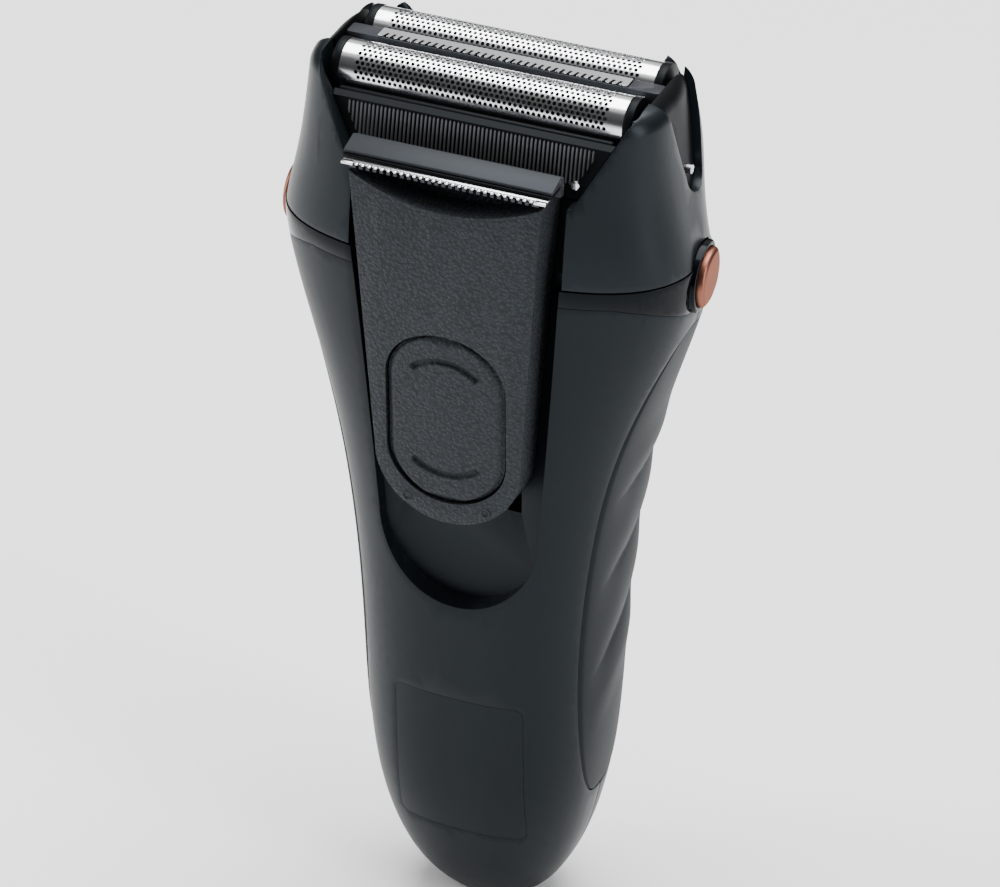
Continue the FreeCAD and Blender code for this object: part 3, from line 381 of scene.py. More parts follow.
def smooth_by_angle(mesh, degrees):
    """Smooth shading with hard edges where faces meet sharply."""
    work = bmesh.new()
    work.from_mesh(mesh)
    limit = math.radians(degrees)
    for face in work.faces:
        face.smooth = True
    for edge in work.edges:
        edge.smooth = edge.calc_face_angle(0.0) < limit
    work.to_mesh(mesh)
    work.free()


def surface_of(node):
    """The node's surface, for rays."""
    work = bmesh.new()
    work.from_mesh(frame["nodes"][node].data)
    tree = BVHTree.FromBMesh(work)
    work.free()
    return tree


def merged_copy(node):
    """The node's surface with doubles merged and flat areas made whole."""
    work = bmesh.new()
    work.from_mesh(frame["nodes"][node].data)
    bmesh.ops.remove_doubles(work, verts=work.verts, dist=MERGE)
    bmesh.ops.dissolve_limit(
        work, angle_limit=math.radians(FLAT_DEGREES), verts=work.verts, edges=work.edges
    )
    return mesh_from(work, node + "_finished")


def soften(node, width, segments):
    """Round the node's sharp edges over by width."""
    piece = new_piece(node + "_moulded", merged_copy(node), finish_of(node))
    bevel = piece.modifiers.new("edge", "BEVEL")
    bevel.width = width
    bevel.segments = segments
    bevel.limit_method = "ANGLE"
    bevel.angle_limit = math.radians(SHARP_DEGREES)
    bevel.use_clamp_overlap = True
    bevel.miter_outer = "MITER_ARC"
    bake(piece)
    smooth_by_angle(piece.data, 30.0)
    stand_for(piece, node)


def grid_mesh(name, rows):
    """Quads between rows of equally many points; coincident points merge."""
    work = bmesh.new()
    lines = [[work.verts.new(p) for p in row] for row in rows]
    for low, high in zip(lines, lines[1:]):
        for a, b, c, d in zip(low, low[1:], high[1:], high):
            work.faces.new((a, b, c, d))
    bmesh.ops.remove_doubles(work, verts=work.verts, dist=0.0005 * MM)
    return mesh_from(work, name)


def add_tube(work, rings):
    """Quads between closed rings of equally many vertices."""
    for first, second in zip(rings, rings[1:]):
        for k in range(len(first)):
            n = (k + 1) % len(first)
            work.faces.new((first[k], first[n], second[n], second[k]))


def outward(mesh):
    """Merge doubles and point every face outwards."""
    work = bmesh.new()
    work.from_mesh(mesh)
    bmesh.ops.remove_doubles(work, verts=work.verts, dist=0.001 * MM)
    bmesh.ops.recalc_face_normals(work, faces=work.faces)
    work.to_mesh(mesh)
    work.free()


def ease(t):
    """Smooth step from 0 to 1."""
    t = max(0.0, min(1.0, t))
    return t * t * (3.0 - 2.0 * t)


# ---- perforated foils ------------------------------------------------------
HOLE_SIDES = 16                     # twice the points of a tile's rim


def foil_tile(name, pitch, row, hole_r):
    """One cell of the staggered pattern, with a round hole or whole."""
    half, tall = pitch / 2, row / 2
    rim = [
        (-half, -tall), (0.0, -tall), (half, -tall), (half, 0.0),
        (half, tall), (0.0, tall), (-half, tall), (-half, 0.0),
    ]
    work = bmesh.new()
    outer = [work.verts.new((x, y, 0.0)) for x, y in rim]
    if hole_r:
        start = math.atan2(-tall, -half)
        inner = []
        for i in range(HOLE_SIDES):
            angle = start + 2 * math.pi * i / HOLE_SIDES
            inner.append(work.verts.new(
                (hole_r * math.cos(angle), hole_r * math.sin(angle), 0.0)))
        for k in range(len(rim)):
            a, b = outer[k], outer[(k + 1) % len(rim)]
            c, d, e = (inner[(2 * k + j) % HOLE_SIDES] for j in (0, 1, 2))
            work.faces.new((a, b, e, d))
            work.faces.new((a, d, c))
    else:
        work.faces.new(outer)
    return placed(name, mesh_from(work, name))


FOIL_INPUTS = (
    ("Pierced Tile", "NodeSocketObject"), ("Whole Tile", "NodeSocketObject"),
    ("Columns", "NodeSocketInt"), ("Rows", "NodeSocketInt"),
    ("Pitch", "NodeSocketFloat"), ("Row Pitch", "NodeSocketFloat"),
    ("Pierced Half Length", "NodeSocketFloat"), ("Pierced Half Height", "NodeSocketFloat"),
    ("Half Length", "NodeSocketFloat"), ("Half Height", "NodeSocketFloat"),
    ("Radius", "NodeSocketFloat"), ("Centre Y", "NodeSocketFloat"),
    ("Centre Z", "NodeSocketFloat"), ("Finish", "NodeSocketMaterial"),
)


def new_geometry_tree(name, inputs):
    tree = bpy.data.node_groups.new(name, "GeometryNodeTree")
    tree.interface.new_socket("Geometry", in_out="OUTPUT", socket_type="NodeSocketGeometry")
    for label, kind in inputs:
        tree.interface.new_socket(label, in_out="INPUT", socket_type=kind)
    net = Net(tree)
    source = tree.nodes.new("NodeGroupInput")
    given = {label: Wire(net, source.outputs[label]) for label, _ in inputs}
    return net, given


def close_tree(net, geometry, finish):
    """Realize the instances, set the material and connect the output."""
    real = net.add("GeometryNodeRealizeInstances", None, {"Geometry": geometry})
    done = net.add("GeometryNodeSetMaterial", None, {"Geometry": real, "Material": finish})
    sink = net.tree.nodes.new("NodeGroupOutput")
    net.feed(sink.inputs["Geometry"], done)


def foil_tree():
    """Staggered tiles laid out flat, then wrapped over the foil's arch."""
    net, given = new_geometry_tree("perforated_foil", FOIL_INPUTS)
    columns, rows = given["Columns"], given["Rows"]
    grid = net.add("GeometryNodeMeshGrid", None, {
        "Size X": (columns - 1.0) * given["Pitch"],
        "Size Y": (rows - 1.0) * given["Row Pitch"],
        "Vertices X": columns, "Vertices Y": rows,
    })
    index = net.add("GeometryNodeInputIndex")
    odd = index.math("MODULO", rows).math("MODULO", 2.0)
    shift = net.add("ShaderNodeCombineXYZ", None, {"X": (odd - 0.5) * given["Pitch"] * 0.5})
    laid = net.add("GeometryNodeSetPosition", None, {"Geometry": grid, "Offset": shift})

    flat_x, flat_y, _ = net.parts_of(net.add("GeometryNodeInputPosition"))
    inside = (flat_x.math("ABSOLUTE") < given["Pierced Half Length"]) * (
        flat_y.math("ABSOLUTE") < given["Pierced Half Height"])
    laid_tiles = []
    for label, chosen in (("Pierced Tile", inside), ("Whole Tile", 1.0 - inside)):
        tile = net.add("GeometryNodeObjectInfo", None, {"Object": given[label]}, out="Geometry")
        laid_tiles.append(net.add("GeometryNodeInstanceOnPoints", None, {
            "Points": laid, "Selection": chosen, "Instance": tile,
        }))
    joined = net.tree.nodes.new("GeometryNodeJoinGeometry")
    for tiles in laid_tiles:
        net.tree.links.new(tiles.socket, joined.inputs[0])
    real = net.add("GeometryNodeRealizeInstances", None, {
        "Geometry": Wire(net, joined.outputs[0]),
    })

    along = flat_x.clamped(given["Half Length"] * -1.0, given["Half Length"])
    up = flat_y.clamped(given["Half Height"] * -1.0, given["Half Height"])
    quarter = given["Radius"] * (math.pi / 2)
    turn = (up / given["Radius"]).clamped(-math.pi / 2, math.pi / 2)
    skirt = (up.math("ABSOLUTE") - quarter).math("MAXIMUM", 0.0)
    wrapped = net.add("ShaderNodeCombineXYZ", None, {
        "X": along,
        "Y": given["Centre Y"] + turn.math("SINE") * given["Radius"],
        "Z": given["Centre Z"] + turn.math("COSINE") * given["Radius"] - skirt,
    })
    bent = net.add("GeometryNodeSetPosition", None, {"Geometry": real, "Position": wrapped})
    whole = net.add("GeometryNodeMergeByDistance", None, {
        "Geometry": bent, "Distance": 0.004 * MM,
    })
    close_tree(net, whole, given["Finish"])
    return net.tree


ROW_INPUTS = (
    ("Model", "NodeSocketObject"), ("Count", "NodeSocketInt"),
    ("Start", "NodeSocketVector"), ("Step", "NodeSocketVector"),
    ("Finish", "NodeSocketMaterial"),
)


def row_of_copies(net, given):
    """Instances of one model along a straight line."""
    points = net.add("GeometryNodeMeshLine", None, {
        "Count": given["Count"], "Start Location": given["Start"], "Offset": given["Step"],
    })
    model = net.add("GeometryNodeObjectInfo", None, {"Object": given["Model"]}, out="Geometry")
    return net.add("GeometryNodeInstanceOnPoints", None, {"Points": points, "Instance": model})


def set_inputs(piece, tree, values):
    """A Geometry Nodes modifier with its inputs set by identifier."""
    modifier = piece.modifiers.new("pattern", "NODES")
    modifier.node_group = tree
    for item in tree.interface.items_tree:
        if item.item_type == "SOCKET" and item.in_out == "INPUT":
            modifier[item.identifier] = values[item.name]


def make_foils(size):
    row_pitch = size.hole_pitch * math.sqrt(3) / 2
    pierced = foil_tile("pierced_tile", size.hole_pitch, row_pitch, size.hole_radius)
    whole = foil_tile("whole_tile", size.hole_pitch, row_pitch, 0.0)
    tree = foil_tree()
    for side in ("front", "rear"):
        node = side + "_foil"
        low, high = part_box(node)
        radius = (high.y - low.y) / 2
        centre_z = high.z - radius
        half_height = radius * math.pi / 2 + centre_z - low.z
        half_length = (high.x - low.x) / 2
        piece = new_piece(node + "_sheet", bpy.data.meshes.new(node), finish_of(node))
        set_inputs(piece, tree, {
            "Pierced Tile": pierced, "Whole Tile": whole,
            "Columns": int(2 * half_length / size.hole_pitch) + 3,
            "Rows": 2 * int(half_height / row_pitch) + 3,
            "Pitch": size.hole_pitch, "Row Pitch": row_pitch,
            "Pierced Half Length": half_length - size.foil_margin,
            "Pierced Half Height": radius * math.pi / 2 + size.foil_skirt,
            "Half Length": half_length, "Half Height": half_height,
            "Radius": radius, "Centre Y": (low.y + high.y) / 2,
            "Centre Z": centre_z, "Finish": FINISHES["foil_steel"],
        })
        bake(piece)
        thickness = piece.modifiers.new("wall", "SOLIDIFY")
        thickness.thickness = size.foil_wall
        thickness.offset = -1.0
        bake(piece)
        outward(piece.data)
        smooth_by_angle(piece.data, 50.0)
        stand_for(piece, node)
    for tile in (pierced, whole):
        bpy.data.objects.remove(tile)


# ---- ribbed apron ----------------------------------------------------------
RIB_INPUTS = ROW_INPUTS + (
    ("Foot Half Width", "NodeSocketFloat"), ("Foot Z", "NodeSocketFloat"),
    ("Side Slope", "NodeSocketFloat"), ("Lean", "NodeSocketFloat"),
)
RIB_FACETS = 6                      # round the half circle of a rib
RIB_SUNK = 0.05 * MM                # how far a rib reaches into the face
RIB_TIP = 0.25 * MM                 # length of a rib's rounded end
RIB_TIP_SHARE = 0.35                # width of the end's last ring
# Where the apron's sloping face lies within its box: forward of the rear, below the
# top and back from the front. Then half the width of its foot, and the ribs' upper end.
FACE_TOP_FORWARD = 1.12 * MM
FACE_TOP_DOWN = 0.6 * MM
FACE_FOOT_BACK = 0.02 * MM
FACE_FOOT_HALF = 19.1 * MM
RIB_TOP_DOWN = 0.9 * MM


def rib_tree():
    """Ribs along a line, their feet cut off along the apron's slanting sides."""
    net, given = new_geometry_tree("rib_row", RIB_INPUTS)
    ribs = row_of_copies(net, given)
    real = net.add("GeometryNodeRealizeInstances", None, {"Geometry": ribs})
    x, _, z = net.parts_of(net.add("GeometryNodeInputPosition"))
    outside = x.math("ABSOLUTE") - given["Foot Half Width"]
    side_z = given["Foot Z"] + outside / given["Side Slope"]
    climb = (side_z - z).math("MAXIMUM", 0.0)
    shift = net.add("ShaderNodeCombineXYZ", None, {"Y": climb * given["Lean"], "Z": climb})
    cut = net.add("GeometryNodeSetPosition", None, {"Geometry": real, "Offset": shift})
    close_tree(net, cut, given["Finish"])
    return net.tree


def rib_solid(width, proud, low, high):
    """Half-round rib between two points of the apron's face."""
    along = (high - low).normalized()
    face_normal = Vector((1.0, 0.0, 0.0)).cross(along).normalized()
    if face_normal.y > 0.0:
        face_normal.negate()
    profile = []
    for i in range(RIB_FACETS + 1):
        angle = math.pi * i / RIB_FACETS
        profile.append((math.cos(angle) * width / 2, math.sin(angle) * proud - RIB_SUNK))
    tip = along * RIB_TIP
    stations = (
        (low, RIB_TIP_SHARE), (low + tip, 1.0), (high - tip, 1.0), (high, RIB_TIP_SHARE),
    )
    work = bmesh.new()
    rings = []
    for point, share in stations:
        rings.append([
            work.verts.new(point + Vector((x * share, 0, 0)) + face_normal * lift * share)
            for x, lift in profile
        ])
    add_tube(work, rings)
    work.faces.new(rings[0])
    work.faces.new(reversed(rings[-1]))
    bmesh.ops.recalc_face_normals(work, faces=work.faces)
    return placed("apron_rib", mesh_from(work, "apron_rib"))


def make_apron(size):
    low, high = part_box("ribbed_apron")
    top_y, foot_y = high.y - FACE_TOP_FORWARD, low.y + FACE_FOOT_BACK
    rise = (high.z - FACE_TOP_DOWN) - low.z
    lean = (top_y - foot_y) / rise

    def on_face(z):
        return Vector((0.0, foot_y + lean * (z - low.z), z))

    rib = rib_solid(size.rib_width, size.rib_height,
                    on_face(low.z + size.rib_foot), on_face(high.z - RIB_TOP_DOWN))
    count = size.rib_count
    start = -size.rib_pitch * (count - 1) / 2
    piece = new_piece("apron_ribs", bpy.data.meshes.new("apron_ribs"), FINISHES["rib_plastic"])
    set_inputs(piece, rib_tree(), {
        "Model": rib, "Count": count, "Start": (start, 0.0, 0.0),
        "Step": (size.rib_pitch, 0.0, 0.0), "Foot Half Width": FACE_FOOT_HALF - size.rib_margin,
        "Foot Z": low.z, "Side Slope": (high.x - FACE_FOOT_HALF) / (high.z - low.z),
        "Lean": lean, "Finish": FINISHES["rib_plastic"],
    })
    bake(piece)
    bpy.data.objects.remove(rib)
    smooth_by_angle(piece.data, 40.0)
    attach(piece, BODY_OF["ribbed_apron"])


# ---- side grips ------------------------------------------------------------
# Height in millimetres of each crease at the middle of the side, and its rise to the rear.
CREASES = ((42.0, 0.7), (57.2, 0.59), (73.8, 0.41), (89.8, 0.18), (104.0, 0.0))
PLAIN = 0.62                        # share of the ridge height level with the plain grip
CREST_POWER = 0.7                   # lower makes broader crests
GRIP_INSET = 0.03 * MM              # between the grip's box and its mesh
RIDGE_RIM = 3.2 * MM                # distance from the outline at which ridges are full
GRIP_THICKNESS = 0.9 * MM
# Rays are drawn in a little, so that none passes the outline.
RAY_SHARE_Y, RAY_SHARE_Z = 0.985, 0.996


def run_out(wave, t):
    """An outer ridge from its crest to the plain grip at t = 0."""
    crest = wave if t > 0.5 else 1.0
    return PLAIN + (crest - PLAIN) * ease(1.6 * t)


def ridge_lift(y, z, size):
    """Height of the finger ridges above the grip's plain surface."""
    heights = [at * MM + slope * y for at, slope in CREASES]
    if not heights[0] < z < heights[-1]:
        return 0.0
    k = max(i for i, height in enumerate(heights[:-1]) if height <= z)
    t = (z - heights[k]) / (heights[k + 1] - heights[k])
    wave = math.sin(math.pi * t) ** CREST_POWER
    if k == 0:
        wave = run_out(wave, t)
    if k == len(CREASES) - 2:
        wave = run_out(wave, 1.0 - t)
    across = ease((y + size.ridge_fade) / (0.9 * size.ridge_fade))
    return (wave - PLAIN) * size.ridge_height * across


def evened(values, rounds):
    """Grid of numbers with its small facets averaged away, rim kept."""
    for _ in range(rounds):
        fresh = [row[:] for row in values]
        for i in range(1, len(values) - 1):
            for k in range(1, len(values[i]) - 1):
                near = values[i - 1][k] + values[i + 1][k] + values[i][k - 1] + values[i][k + 1]
                fresh[i][k] = 0.25 * near
        values = fresh
    return values


def make_grips(size):
    for side, sign in (("right", 1.0), ("left", -1.0)):
        node = "side_grip_" + side
        low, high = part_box(node)
        surface = surface_of(node)
        centre_y, centre_z = (low.y + high.y) / 2, (low.z + high.z) / 2
        half_y, half_z = (high.y - low.y) / 2, (high.z - low.z) / 2
        spots, depths = [], []
        for i in range(size.grip_rows + 1):
            t = math.sin(-math.pi / 2 + math.pi * i / size.grip_rows)
            spread = max(0.0, 1.0 - abs(t) ** size.grip_power) ** (1.0 / size.grip_power)
            z = centre_z + t * (half_z - GRIP_INSET)
            spot_row, depth_row = [], []
            for k in range(size.grip_columns + 1):
                u = math.sin(-math.pi / 2 + math.pi * k / size.grip_columns)
                y = centre_y + u * spread * (half_y - GRIP_INSET)
                start = Vector((
                    sign * RAY_START, centre_y + (y - centre_y) * RAY_SHARE_Y,
                    centre_z + (z - centre_z) * RAY_SHARE_Z))
                hit = surface.ray_cast(start, Vector((-sign, 0.0, 0.0)))[0]
                rim = min((1.0 - abs(u)) * spread * half_y, (1.0 - abs(t)) * half_z)
                spot_row.append((y, z, rim))
                depth_row.append(hit.x if hit else sign * high.x)
            spots.append(spot_row)
            depths.append(depth_row)
        depths = evened(depths, size.grip_smoothing)
        rows = []
        for spot_row, depth_row in zip(spots, depths):
            row = []
            for (y, z, rim), x in zip(spot_row, depth_row):
                lift = ridge_lift(y, z, size) * ease(rim / RIDGE_RIM)
                lift -= (1.0 - ease(rim / size.grip_edge)) * size.grip_drop
                row.append((x + sign * lift, y, z))
            back = [
                (x - sign * GRIP_THICKNESS, y, z)
                for (y, z, _), x in zip(spot_row, depth_row)
            ]
            rows.append(row + back[::-1] + row[:1])
        mesh = grid_mesh(node + "_ridged", rows)
        outward(mesh)
        piece = new_piece(node + "_ridged", mesh, finish_of(node))
        smooth_by_angle(piece.data, 50.0)
        stand_for(piece, node)


# ---- power button ----------------------------------------------------------
# Distances of each groove's ends and crown from the button's top or foot.
TOP_GROOVE = (6.5 * MM, 4.5 * MM)
FOOT_GROOVE = (6.9 * MM, 5.2 * MM)
GROOVE_LIP = 0.12 * MM              # half the width of a groove's sloping wall
BUTTON_MIDDLE_Z = 0.106             # rays are drawn in towards this height
BUTTON_RAY_X, BUTTON_RAY_Z = 0.985, 0.99


def arch_groove(x, z, half, end_z, crown_z, width):
    """Depth share, 0 to 1, of an arched groove at (x, z)."""
    sag = crown_z - end_z
    radius = (half * half + sag * sag) / (2 * abs(sag))
    centre_z = crown_z - math.copysign(radius, sag)
    if abs(x) > half:
        away = math.hypot(abs(x) - half, z - end_z)
    else:
        away = abs(math.hypot(x, z - centre_z) - radius)
        if (z - centre_z) * sag < 0:
            return 0.0
    return ease((width / 2 + GROOVE_LIP - away) / (2 * GROOVE_LIP))


def make_button(size):
    node = "power_button"
    low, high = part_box(node)
    surface = surface_of(node)
    half_x = (high.x - low.x) / 2
    cap = size.button_cap
    grooves = (
        [high.z - down for down in TOP_GROOVE],
        [low.z + up for up in FOOT_GROOVE],
    )
    rows = []
    for i in range(size.button_rows + 1):
        even = -1.0 + 2.0 * i / size.button_rows
        t = 0.25 * math.sin(even * math.pi / 2) + 0.75 * even
        z = (low.z + high.z) / 2 + t * (high.z - low.z) / 2
        reach = max(low.z + cap - z, z - (high.z - cap), 0.0) / cap
        spread = half_x * math.sqrt(max(0.0, 1.0 - reach * reach))
        row = []
        for k in range(size.button_columns + 1):
            even = -1.0 + 2.0 * k / size.button_columns
            u = 0.25 * math.sin(even * math.pi / 2) + 0.75 * even
            x = u * spread
            start = Vector((
                x * BUTTON_RAY_X, -RAY_START,
                (z - BUTTON_MIDDLE_Z) * BUTTON_RAY_Z + BUTTON_MIDDLE_Z))
            hit = surface.ray_cast(start, Vector((0.0, 1.0, 0.0)))[0]
            y = hit.y if hit else low.y
            rim = min((1.0 - abs(u)) * spread, min(z - low.z, high.z - z))
            y += size.button_round * (1.0 - ease(rim / (1.6 * size.button_round))) * 0.8
            for end_z, crown_z in grooves:
                y += size.groove_depth * arch_groove(
                    x, z, size.groove_half, end_z, crown_z, size.groove_width)
            row.append((x, y, z))
        rows.append(row)
    mesh = grid_mesh(node + "_grooved", rows)
    work = bmesh.new()
    work.from_mesh(mesh)
    rim_edges = [e for e in work.edges if e.is_boundary]
    wall = bmesh.ops.extrude_edge_only(work, edges=rim_edges)["geom"]
    for vert in (v for v in wall if isinstance(v, bmesh.types.BMVert)):
        vert.co.y = high.y
    bmesh.ops.contextual_create(work, geom=[e for e in work.edges if e.is_boundary])
    bmesh.ops.recalc_face_normals(work, faces=work.faces)
    work.to_mesh(mesh)
    work.free()
    piece = new_piece(node + "_grooved", mesh, finish_of(node))
    smooth_by_angle(piece.data, 50.0)
    stand_for(piece, node)


# ---- trimmer blade and panel marks -----------------------------------------
BLADE_BEVEL = 0.08 * MM
TAB_OVERLAP = 0.2 * MM              # how far a tab reaches into the strip
TOOTH_HALF_WIDTH = 0.31             # share of the distance between teeth
TOOTH_HALF_LENGTH = 0.72            # share of the tooth length
MARK_STEPS, MARK_FACETS = 28, 8     # round a ring and round its section
MARK_HALF_WIDTH = 0.24              # share of the mark's radius
MARK_RISE = 0.14 * MM


def bead_tree():
    """Copies of one bead along a straight line."""
    net, given = new_geometry_tree("bead_row", ROW_INPUTS)
    close_tree(net, row_of_copies(net, given), given["Finish"])
    return net.tree


def add_block(work, low, high, bevel):
    """A box with rounded edges between two corners."""
    made = bmesh.ops.create_cube(work, size=1.0)["verts"]
    for vert in made:
        for axis in range(3):
            half = 0.5 * (high[axis] - low[axis])
            vert.co[axis] = low[axis] + half + 2 * vert.co[axis] * half
    edges = list({e for v in made for e in v.link_edges})
    bmesh.ops.bevel(work, geom=edges, offset=bevel, segments=2, affect="EDGES", profile=0.5)


def make_blade(size):
    """Ground strip with plain tabs at its ends and a row of round teeth."""
    node = "trimmer_blade"
    low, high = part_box(node)
    root = low.y + size.tooth_length
    work = bmesh.new()
    add_block(work, (low.x, root, low.z), (high.x, high.y, high.z), BLADE_BEVEL)
    for sign in (-1.0, 1.0):
        x0, x1 = sorted((sign * high.x, sign * (high.x - size.blade_tab)))
        add_block(work, (x0, low.y, low.z), (x1, root + TAB_OVERLAP, high.z), BLADE_BEVEL)
    strip = new_piece("blade_strip", mesh_from(work, "blade_strip"), finish_of(node))
    smooth_by_angle(strip.data, 40.0)
    stand_for(strip, node)

    work = bmesh.new()
    bmesh.ops.create_uvsphere(work, u_segments=12, v_segments=8, radius=1.0)
    step = 2 * (high.x - size.blade_tab) / size.tooth_count
    half_length = size.tooth_length * TOOTH_HALF_LENGTH
    bmesh.ops.scale(work, verts=work.verts, vec=(
        step * TOOTH_HALF_WIDTH, half_length, (high.z - low.z) * 0.5))
    bead = placed("blade_tooth", mesh_from(work, "blade_tooth"))
    teeth = new_piece("blade_teeth", bpy.data.meshes.new("blade_teeth"), finish_of(node))
    first = -(high.x - size.blade_tab) + step / 2
    set_inputs(teeth, bead_tree(), {
        "Model": bead, "Count": size.tooth_count,
        "Start": (first, low.y + half_length, (low.z + high.z) / 2),
        "Step": (step, 0.0, 0.0), "Finish": FINISHES["blade_steel"],
    })
    bake(teeth)
    bpy.data.objects.remove(bead)
    smooth_by_angle(teeth.data, 80.0)
    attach(teeth, BODY_OF[node])


def make_marks(size):
    """Two small raised rings below the power button."""
    node = "trimmer_panel"
    surface = surface_of(node)
    work = bmesh.new()
    for x in (-size.mark_x, size.mark_x):
        start = Vector((x, -RAY_START, size.mark_z))
        hit = surface.ray_cast(start, Vector((0.0, 1.0, 0.0)))[0]
        rings = []
        for i in range(MARK_STEPS):
            a = 2 * math.pi * i / MARK_STEPS
            ring = []
            for k in range(MARK_FACETS):
                b = 2 * math.pi * k / MARK_FACETS
                r = size.mark_radius * (1.0 + MARK_HALF_WIDTH * math.cos(b))
                ring.append(work.verts.new((
                    x + r * math.cos(a), hit.y - MARK_RISE * math.sin(b),
                    size.mark_z + r * math.sin(a))))
            rings.append(ring)
        add_tube(work, rings + rings[:1])
    bmesh.ops.recalc_face_normals(work, faces=work.faces)
    piece = new_piece("panel_marks", mesh_from(work, "panel_marks"), finish_of(node))
    smooth_by_angle(piece.data, 60.0)
    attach(piece, BODY_OF[node])


# ---- leaf springs ----------------------------------------------------------
# Node, joint, direction of travel, fixed end, share of the depth left when pressed.
LEAVES = (
    ("release_spring_left", "release_left_press", (1, 0, 0), (-29.0 * MM, 0, 0), 0.42),
    ("release_spring_right", "release_right_press", (1, 0, 0), (29.0 * MM, 0, 0), 0.42),
    ("button_spring", "power_press", (0, 1, 0), (0, -18.9 * MM, 0), 0.34),
)


def make_leaves():
    """Springs behind the buttons, copied from the frame with smooth shading, in their nodes'
    places.
    """
    for node, joint, axis, anchor, keep in LEAVES:
        piece = new_piece(node + "_leaf", merged_copy(node), finish_of(node))
        smooth_by_angle(piece.data, 30.0)
        stand_for(piece, node)
        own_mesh(piece)


# ---- stage -----------------------------------------------------------------
def make_floor():
    mesh = bpy.data.meshes.new("studio_floor")
    reach = 14.0
    mesh.from_pydata(
        [(-reach, -reach, 0), (reach, -reach, 0), (reach, reach, 0), (-reach, reach, 0)],
        [], [(0, 1, 2, 3)],
    )
    floor = placed("studio_floor", mesh)
    f = Finish("pale_floor", Specular_IOR_Level=0.2)
    f.colour(f.blend(rgba((0.86, 0.86, 0.87)), rgba((0.9, 0.9, 0.9)), f.noise(0.4)))
    f.roughness(0.75 + f.noise(0.05) * 0.1)
    floor.data.materials.append(f.material)


def make_light(name, place, aim, size, power, tall=None):
    lamp = bpy.data.lights.new(name, "AREA")
    lamp.shape = "RECTANGLE"
    lamp.size = size
    lamp.size_y = tall or size
    lamp.energy = power
    light = placed(name, lamp)
    light.location = place
    light.rotation_euler = (Vector(aim) - Vector(place)).to_track_quat("-Z", "Y").to_euler()


def make_world():
    """Bright overhead, darker at eye level, so that metal shows contrast."""
    world = bpy.data.worlds.new("studio")
    world.use_nodes = True
    bpy.context.scene.world = world
    net = Net(world.node_tree)
    direction = net.add("ShaderNodeTexCoord", out="Generated")
    _, ahead, height = net.parts_of(direction)
    stops = [(0.0, 0.3), (0.45, 0.04), (0.78, 0.1), (0.9, 0.8), (1.0, 1.0)]
    shade = net.add("ShaderNodeValToRGB", {"stops": stops}, {
        0: height * 0.5 + ahead * 0.18 + 0.5,
    })
    sky = next(n for n in net.tree.nodes if n.type == "BACKGROUND")
    net.feed(sky.inputs["Color"], shade)
    sky.inputs["Strength"].default_value = 1.15


def make_camera(view):
    camera = bpy.data.cameras.new("view")
    camera.lens = view.lens
    camera.sensor_width = 36.0
    camera.clip_start, camera.clip_end = 0.01, 40.0
    turn, tilt, roll = view.azimuth, view.elevation, view.roll
    back = Vector((
        math.sin(turn) * math.cos(tilt), -math.cos(turn) * math.cos(tilt), math.sin(tilt),
    ))
    right = Vector((math.cos(turn), math.sin(turn), 0.0))
    up = back.cross(right)
    tilted_right = math.cos(roll) * right + math.sin(roll) * up
    tilted_up = -math.sin(roll) * right + math.cos(roll) * up
    axes = Matrix((tilted_right, tilted_up, back)).transposed()
    holder = placed("view", camera)
    holder.matrix_world = Matrix.Translation(Vector(view.place)) @ axes.to_4x4()
    bpy.context.scene.camera = holder


# ---- properties ------------------------------------------------------------
def length(name, description, value):
    return FloatProperty(
        name=name, description=description, default=value, unit="LENGTH", precision=5)


def colour(name, description, value):
    return FloatVectorProperty(
        name=name, description=description, default=value, subtype="COLOR")


class ShaverLook(bpy.types.PropertyGroup):
    body_colour: colour("Body", "Colour of the moulded body", (0.0042, 0.0058, 0.0072))
    body_rough: FloatProperty(
        name="Body roughness", description="Satin of the body", default=0.38)
    panel_colour: colour("Panel", "Colour of the grained panel", (0.013, 0.0146, 0.0172))
    grip_colour: colour("Grip", "Colour of the side grips", (0.0036, 0.0048, 0.006))
    copper_colour: colour("Copper", "Colour of the release buttons", (0.22, 0.09, 0.064))
    block_colour: colour("Block", "Colour of the grey trims", (0.021, 0.0225, 0.026))


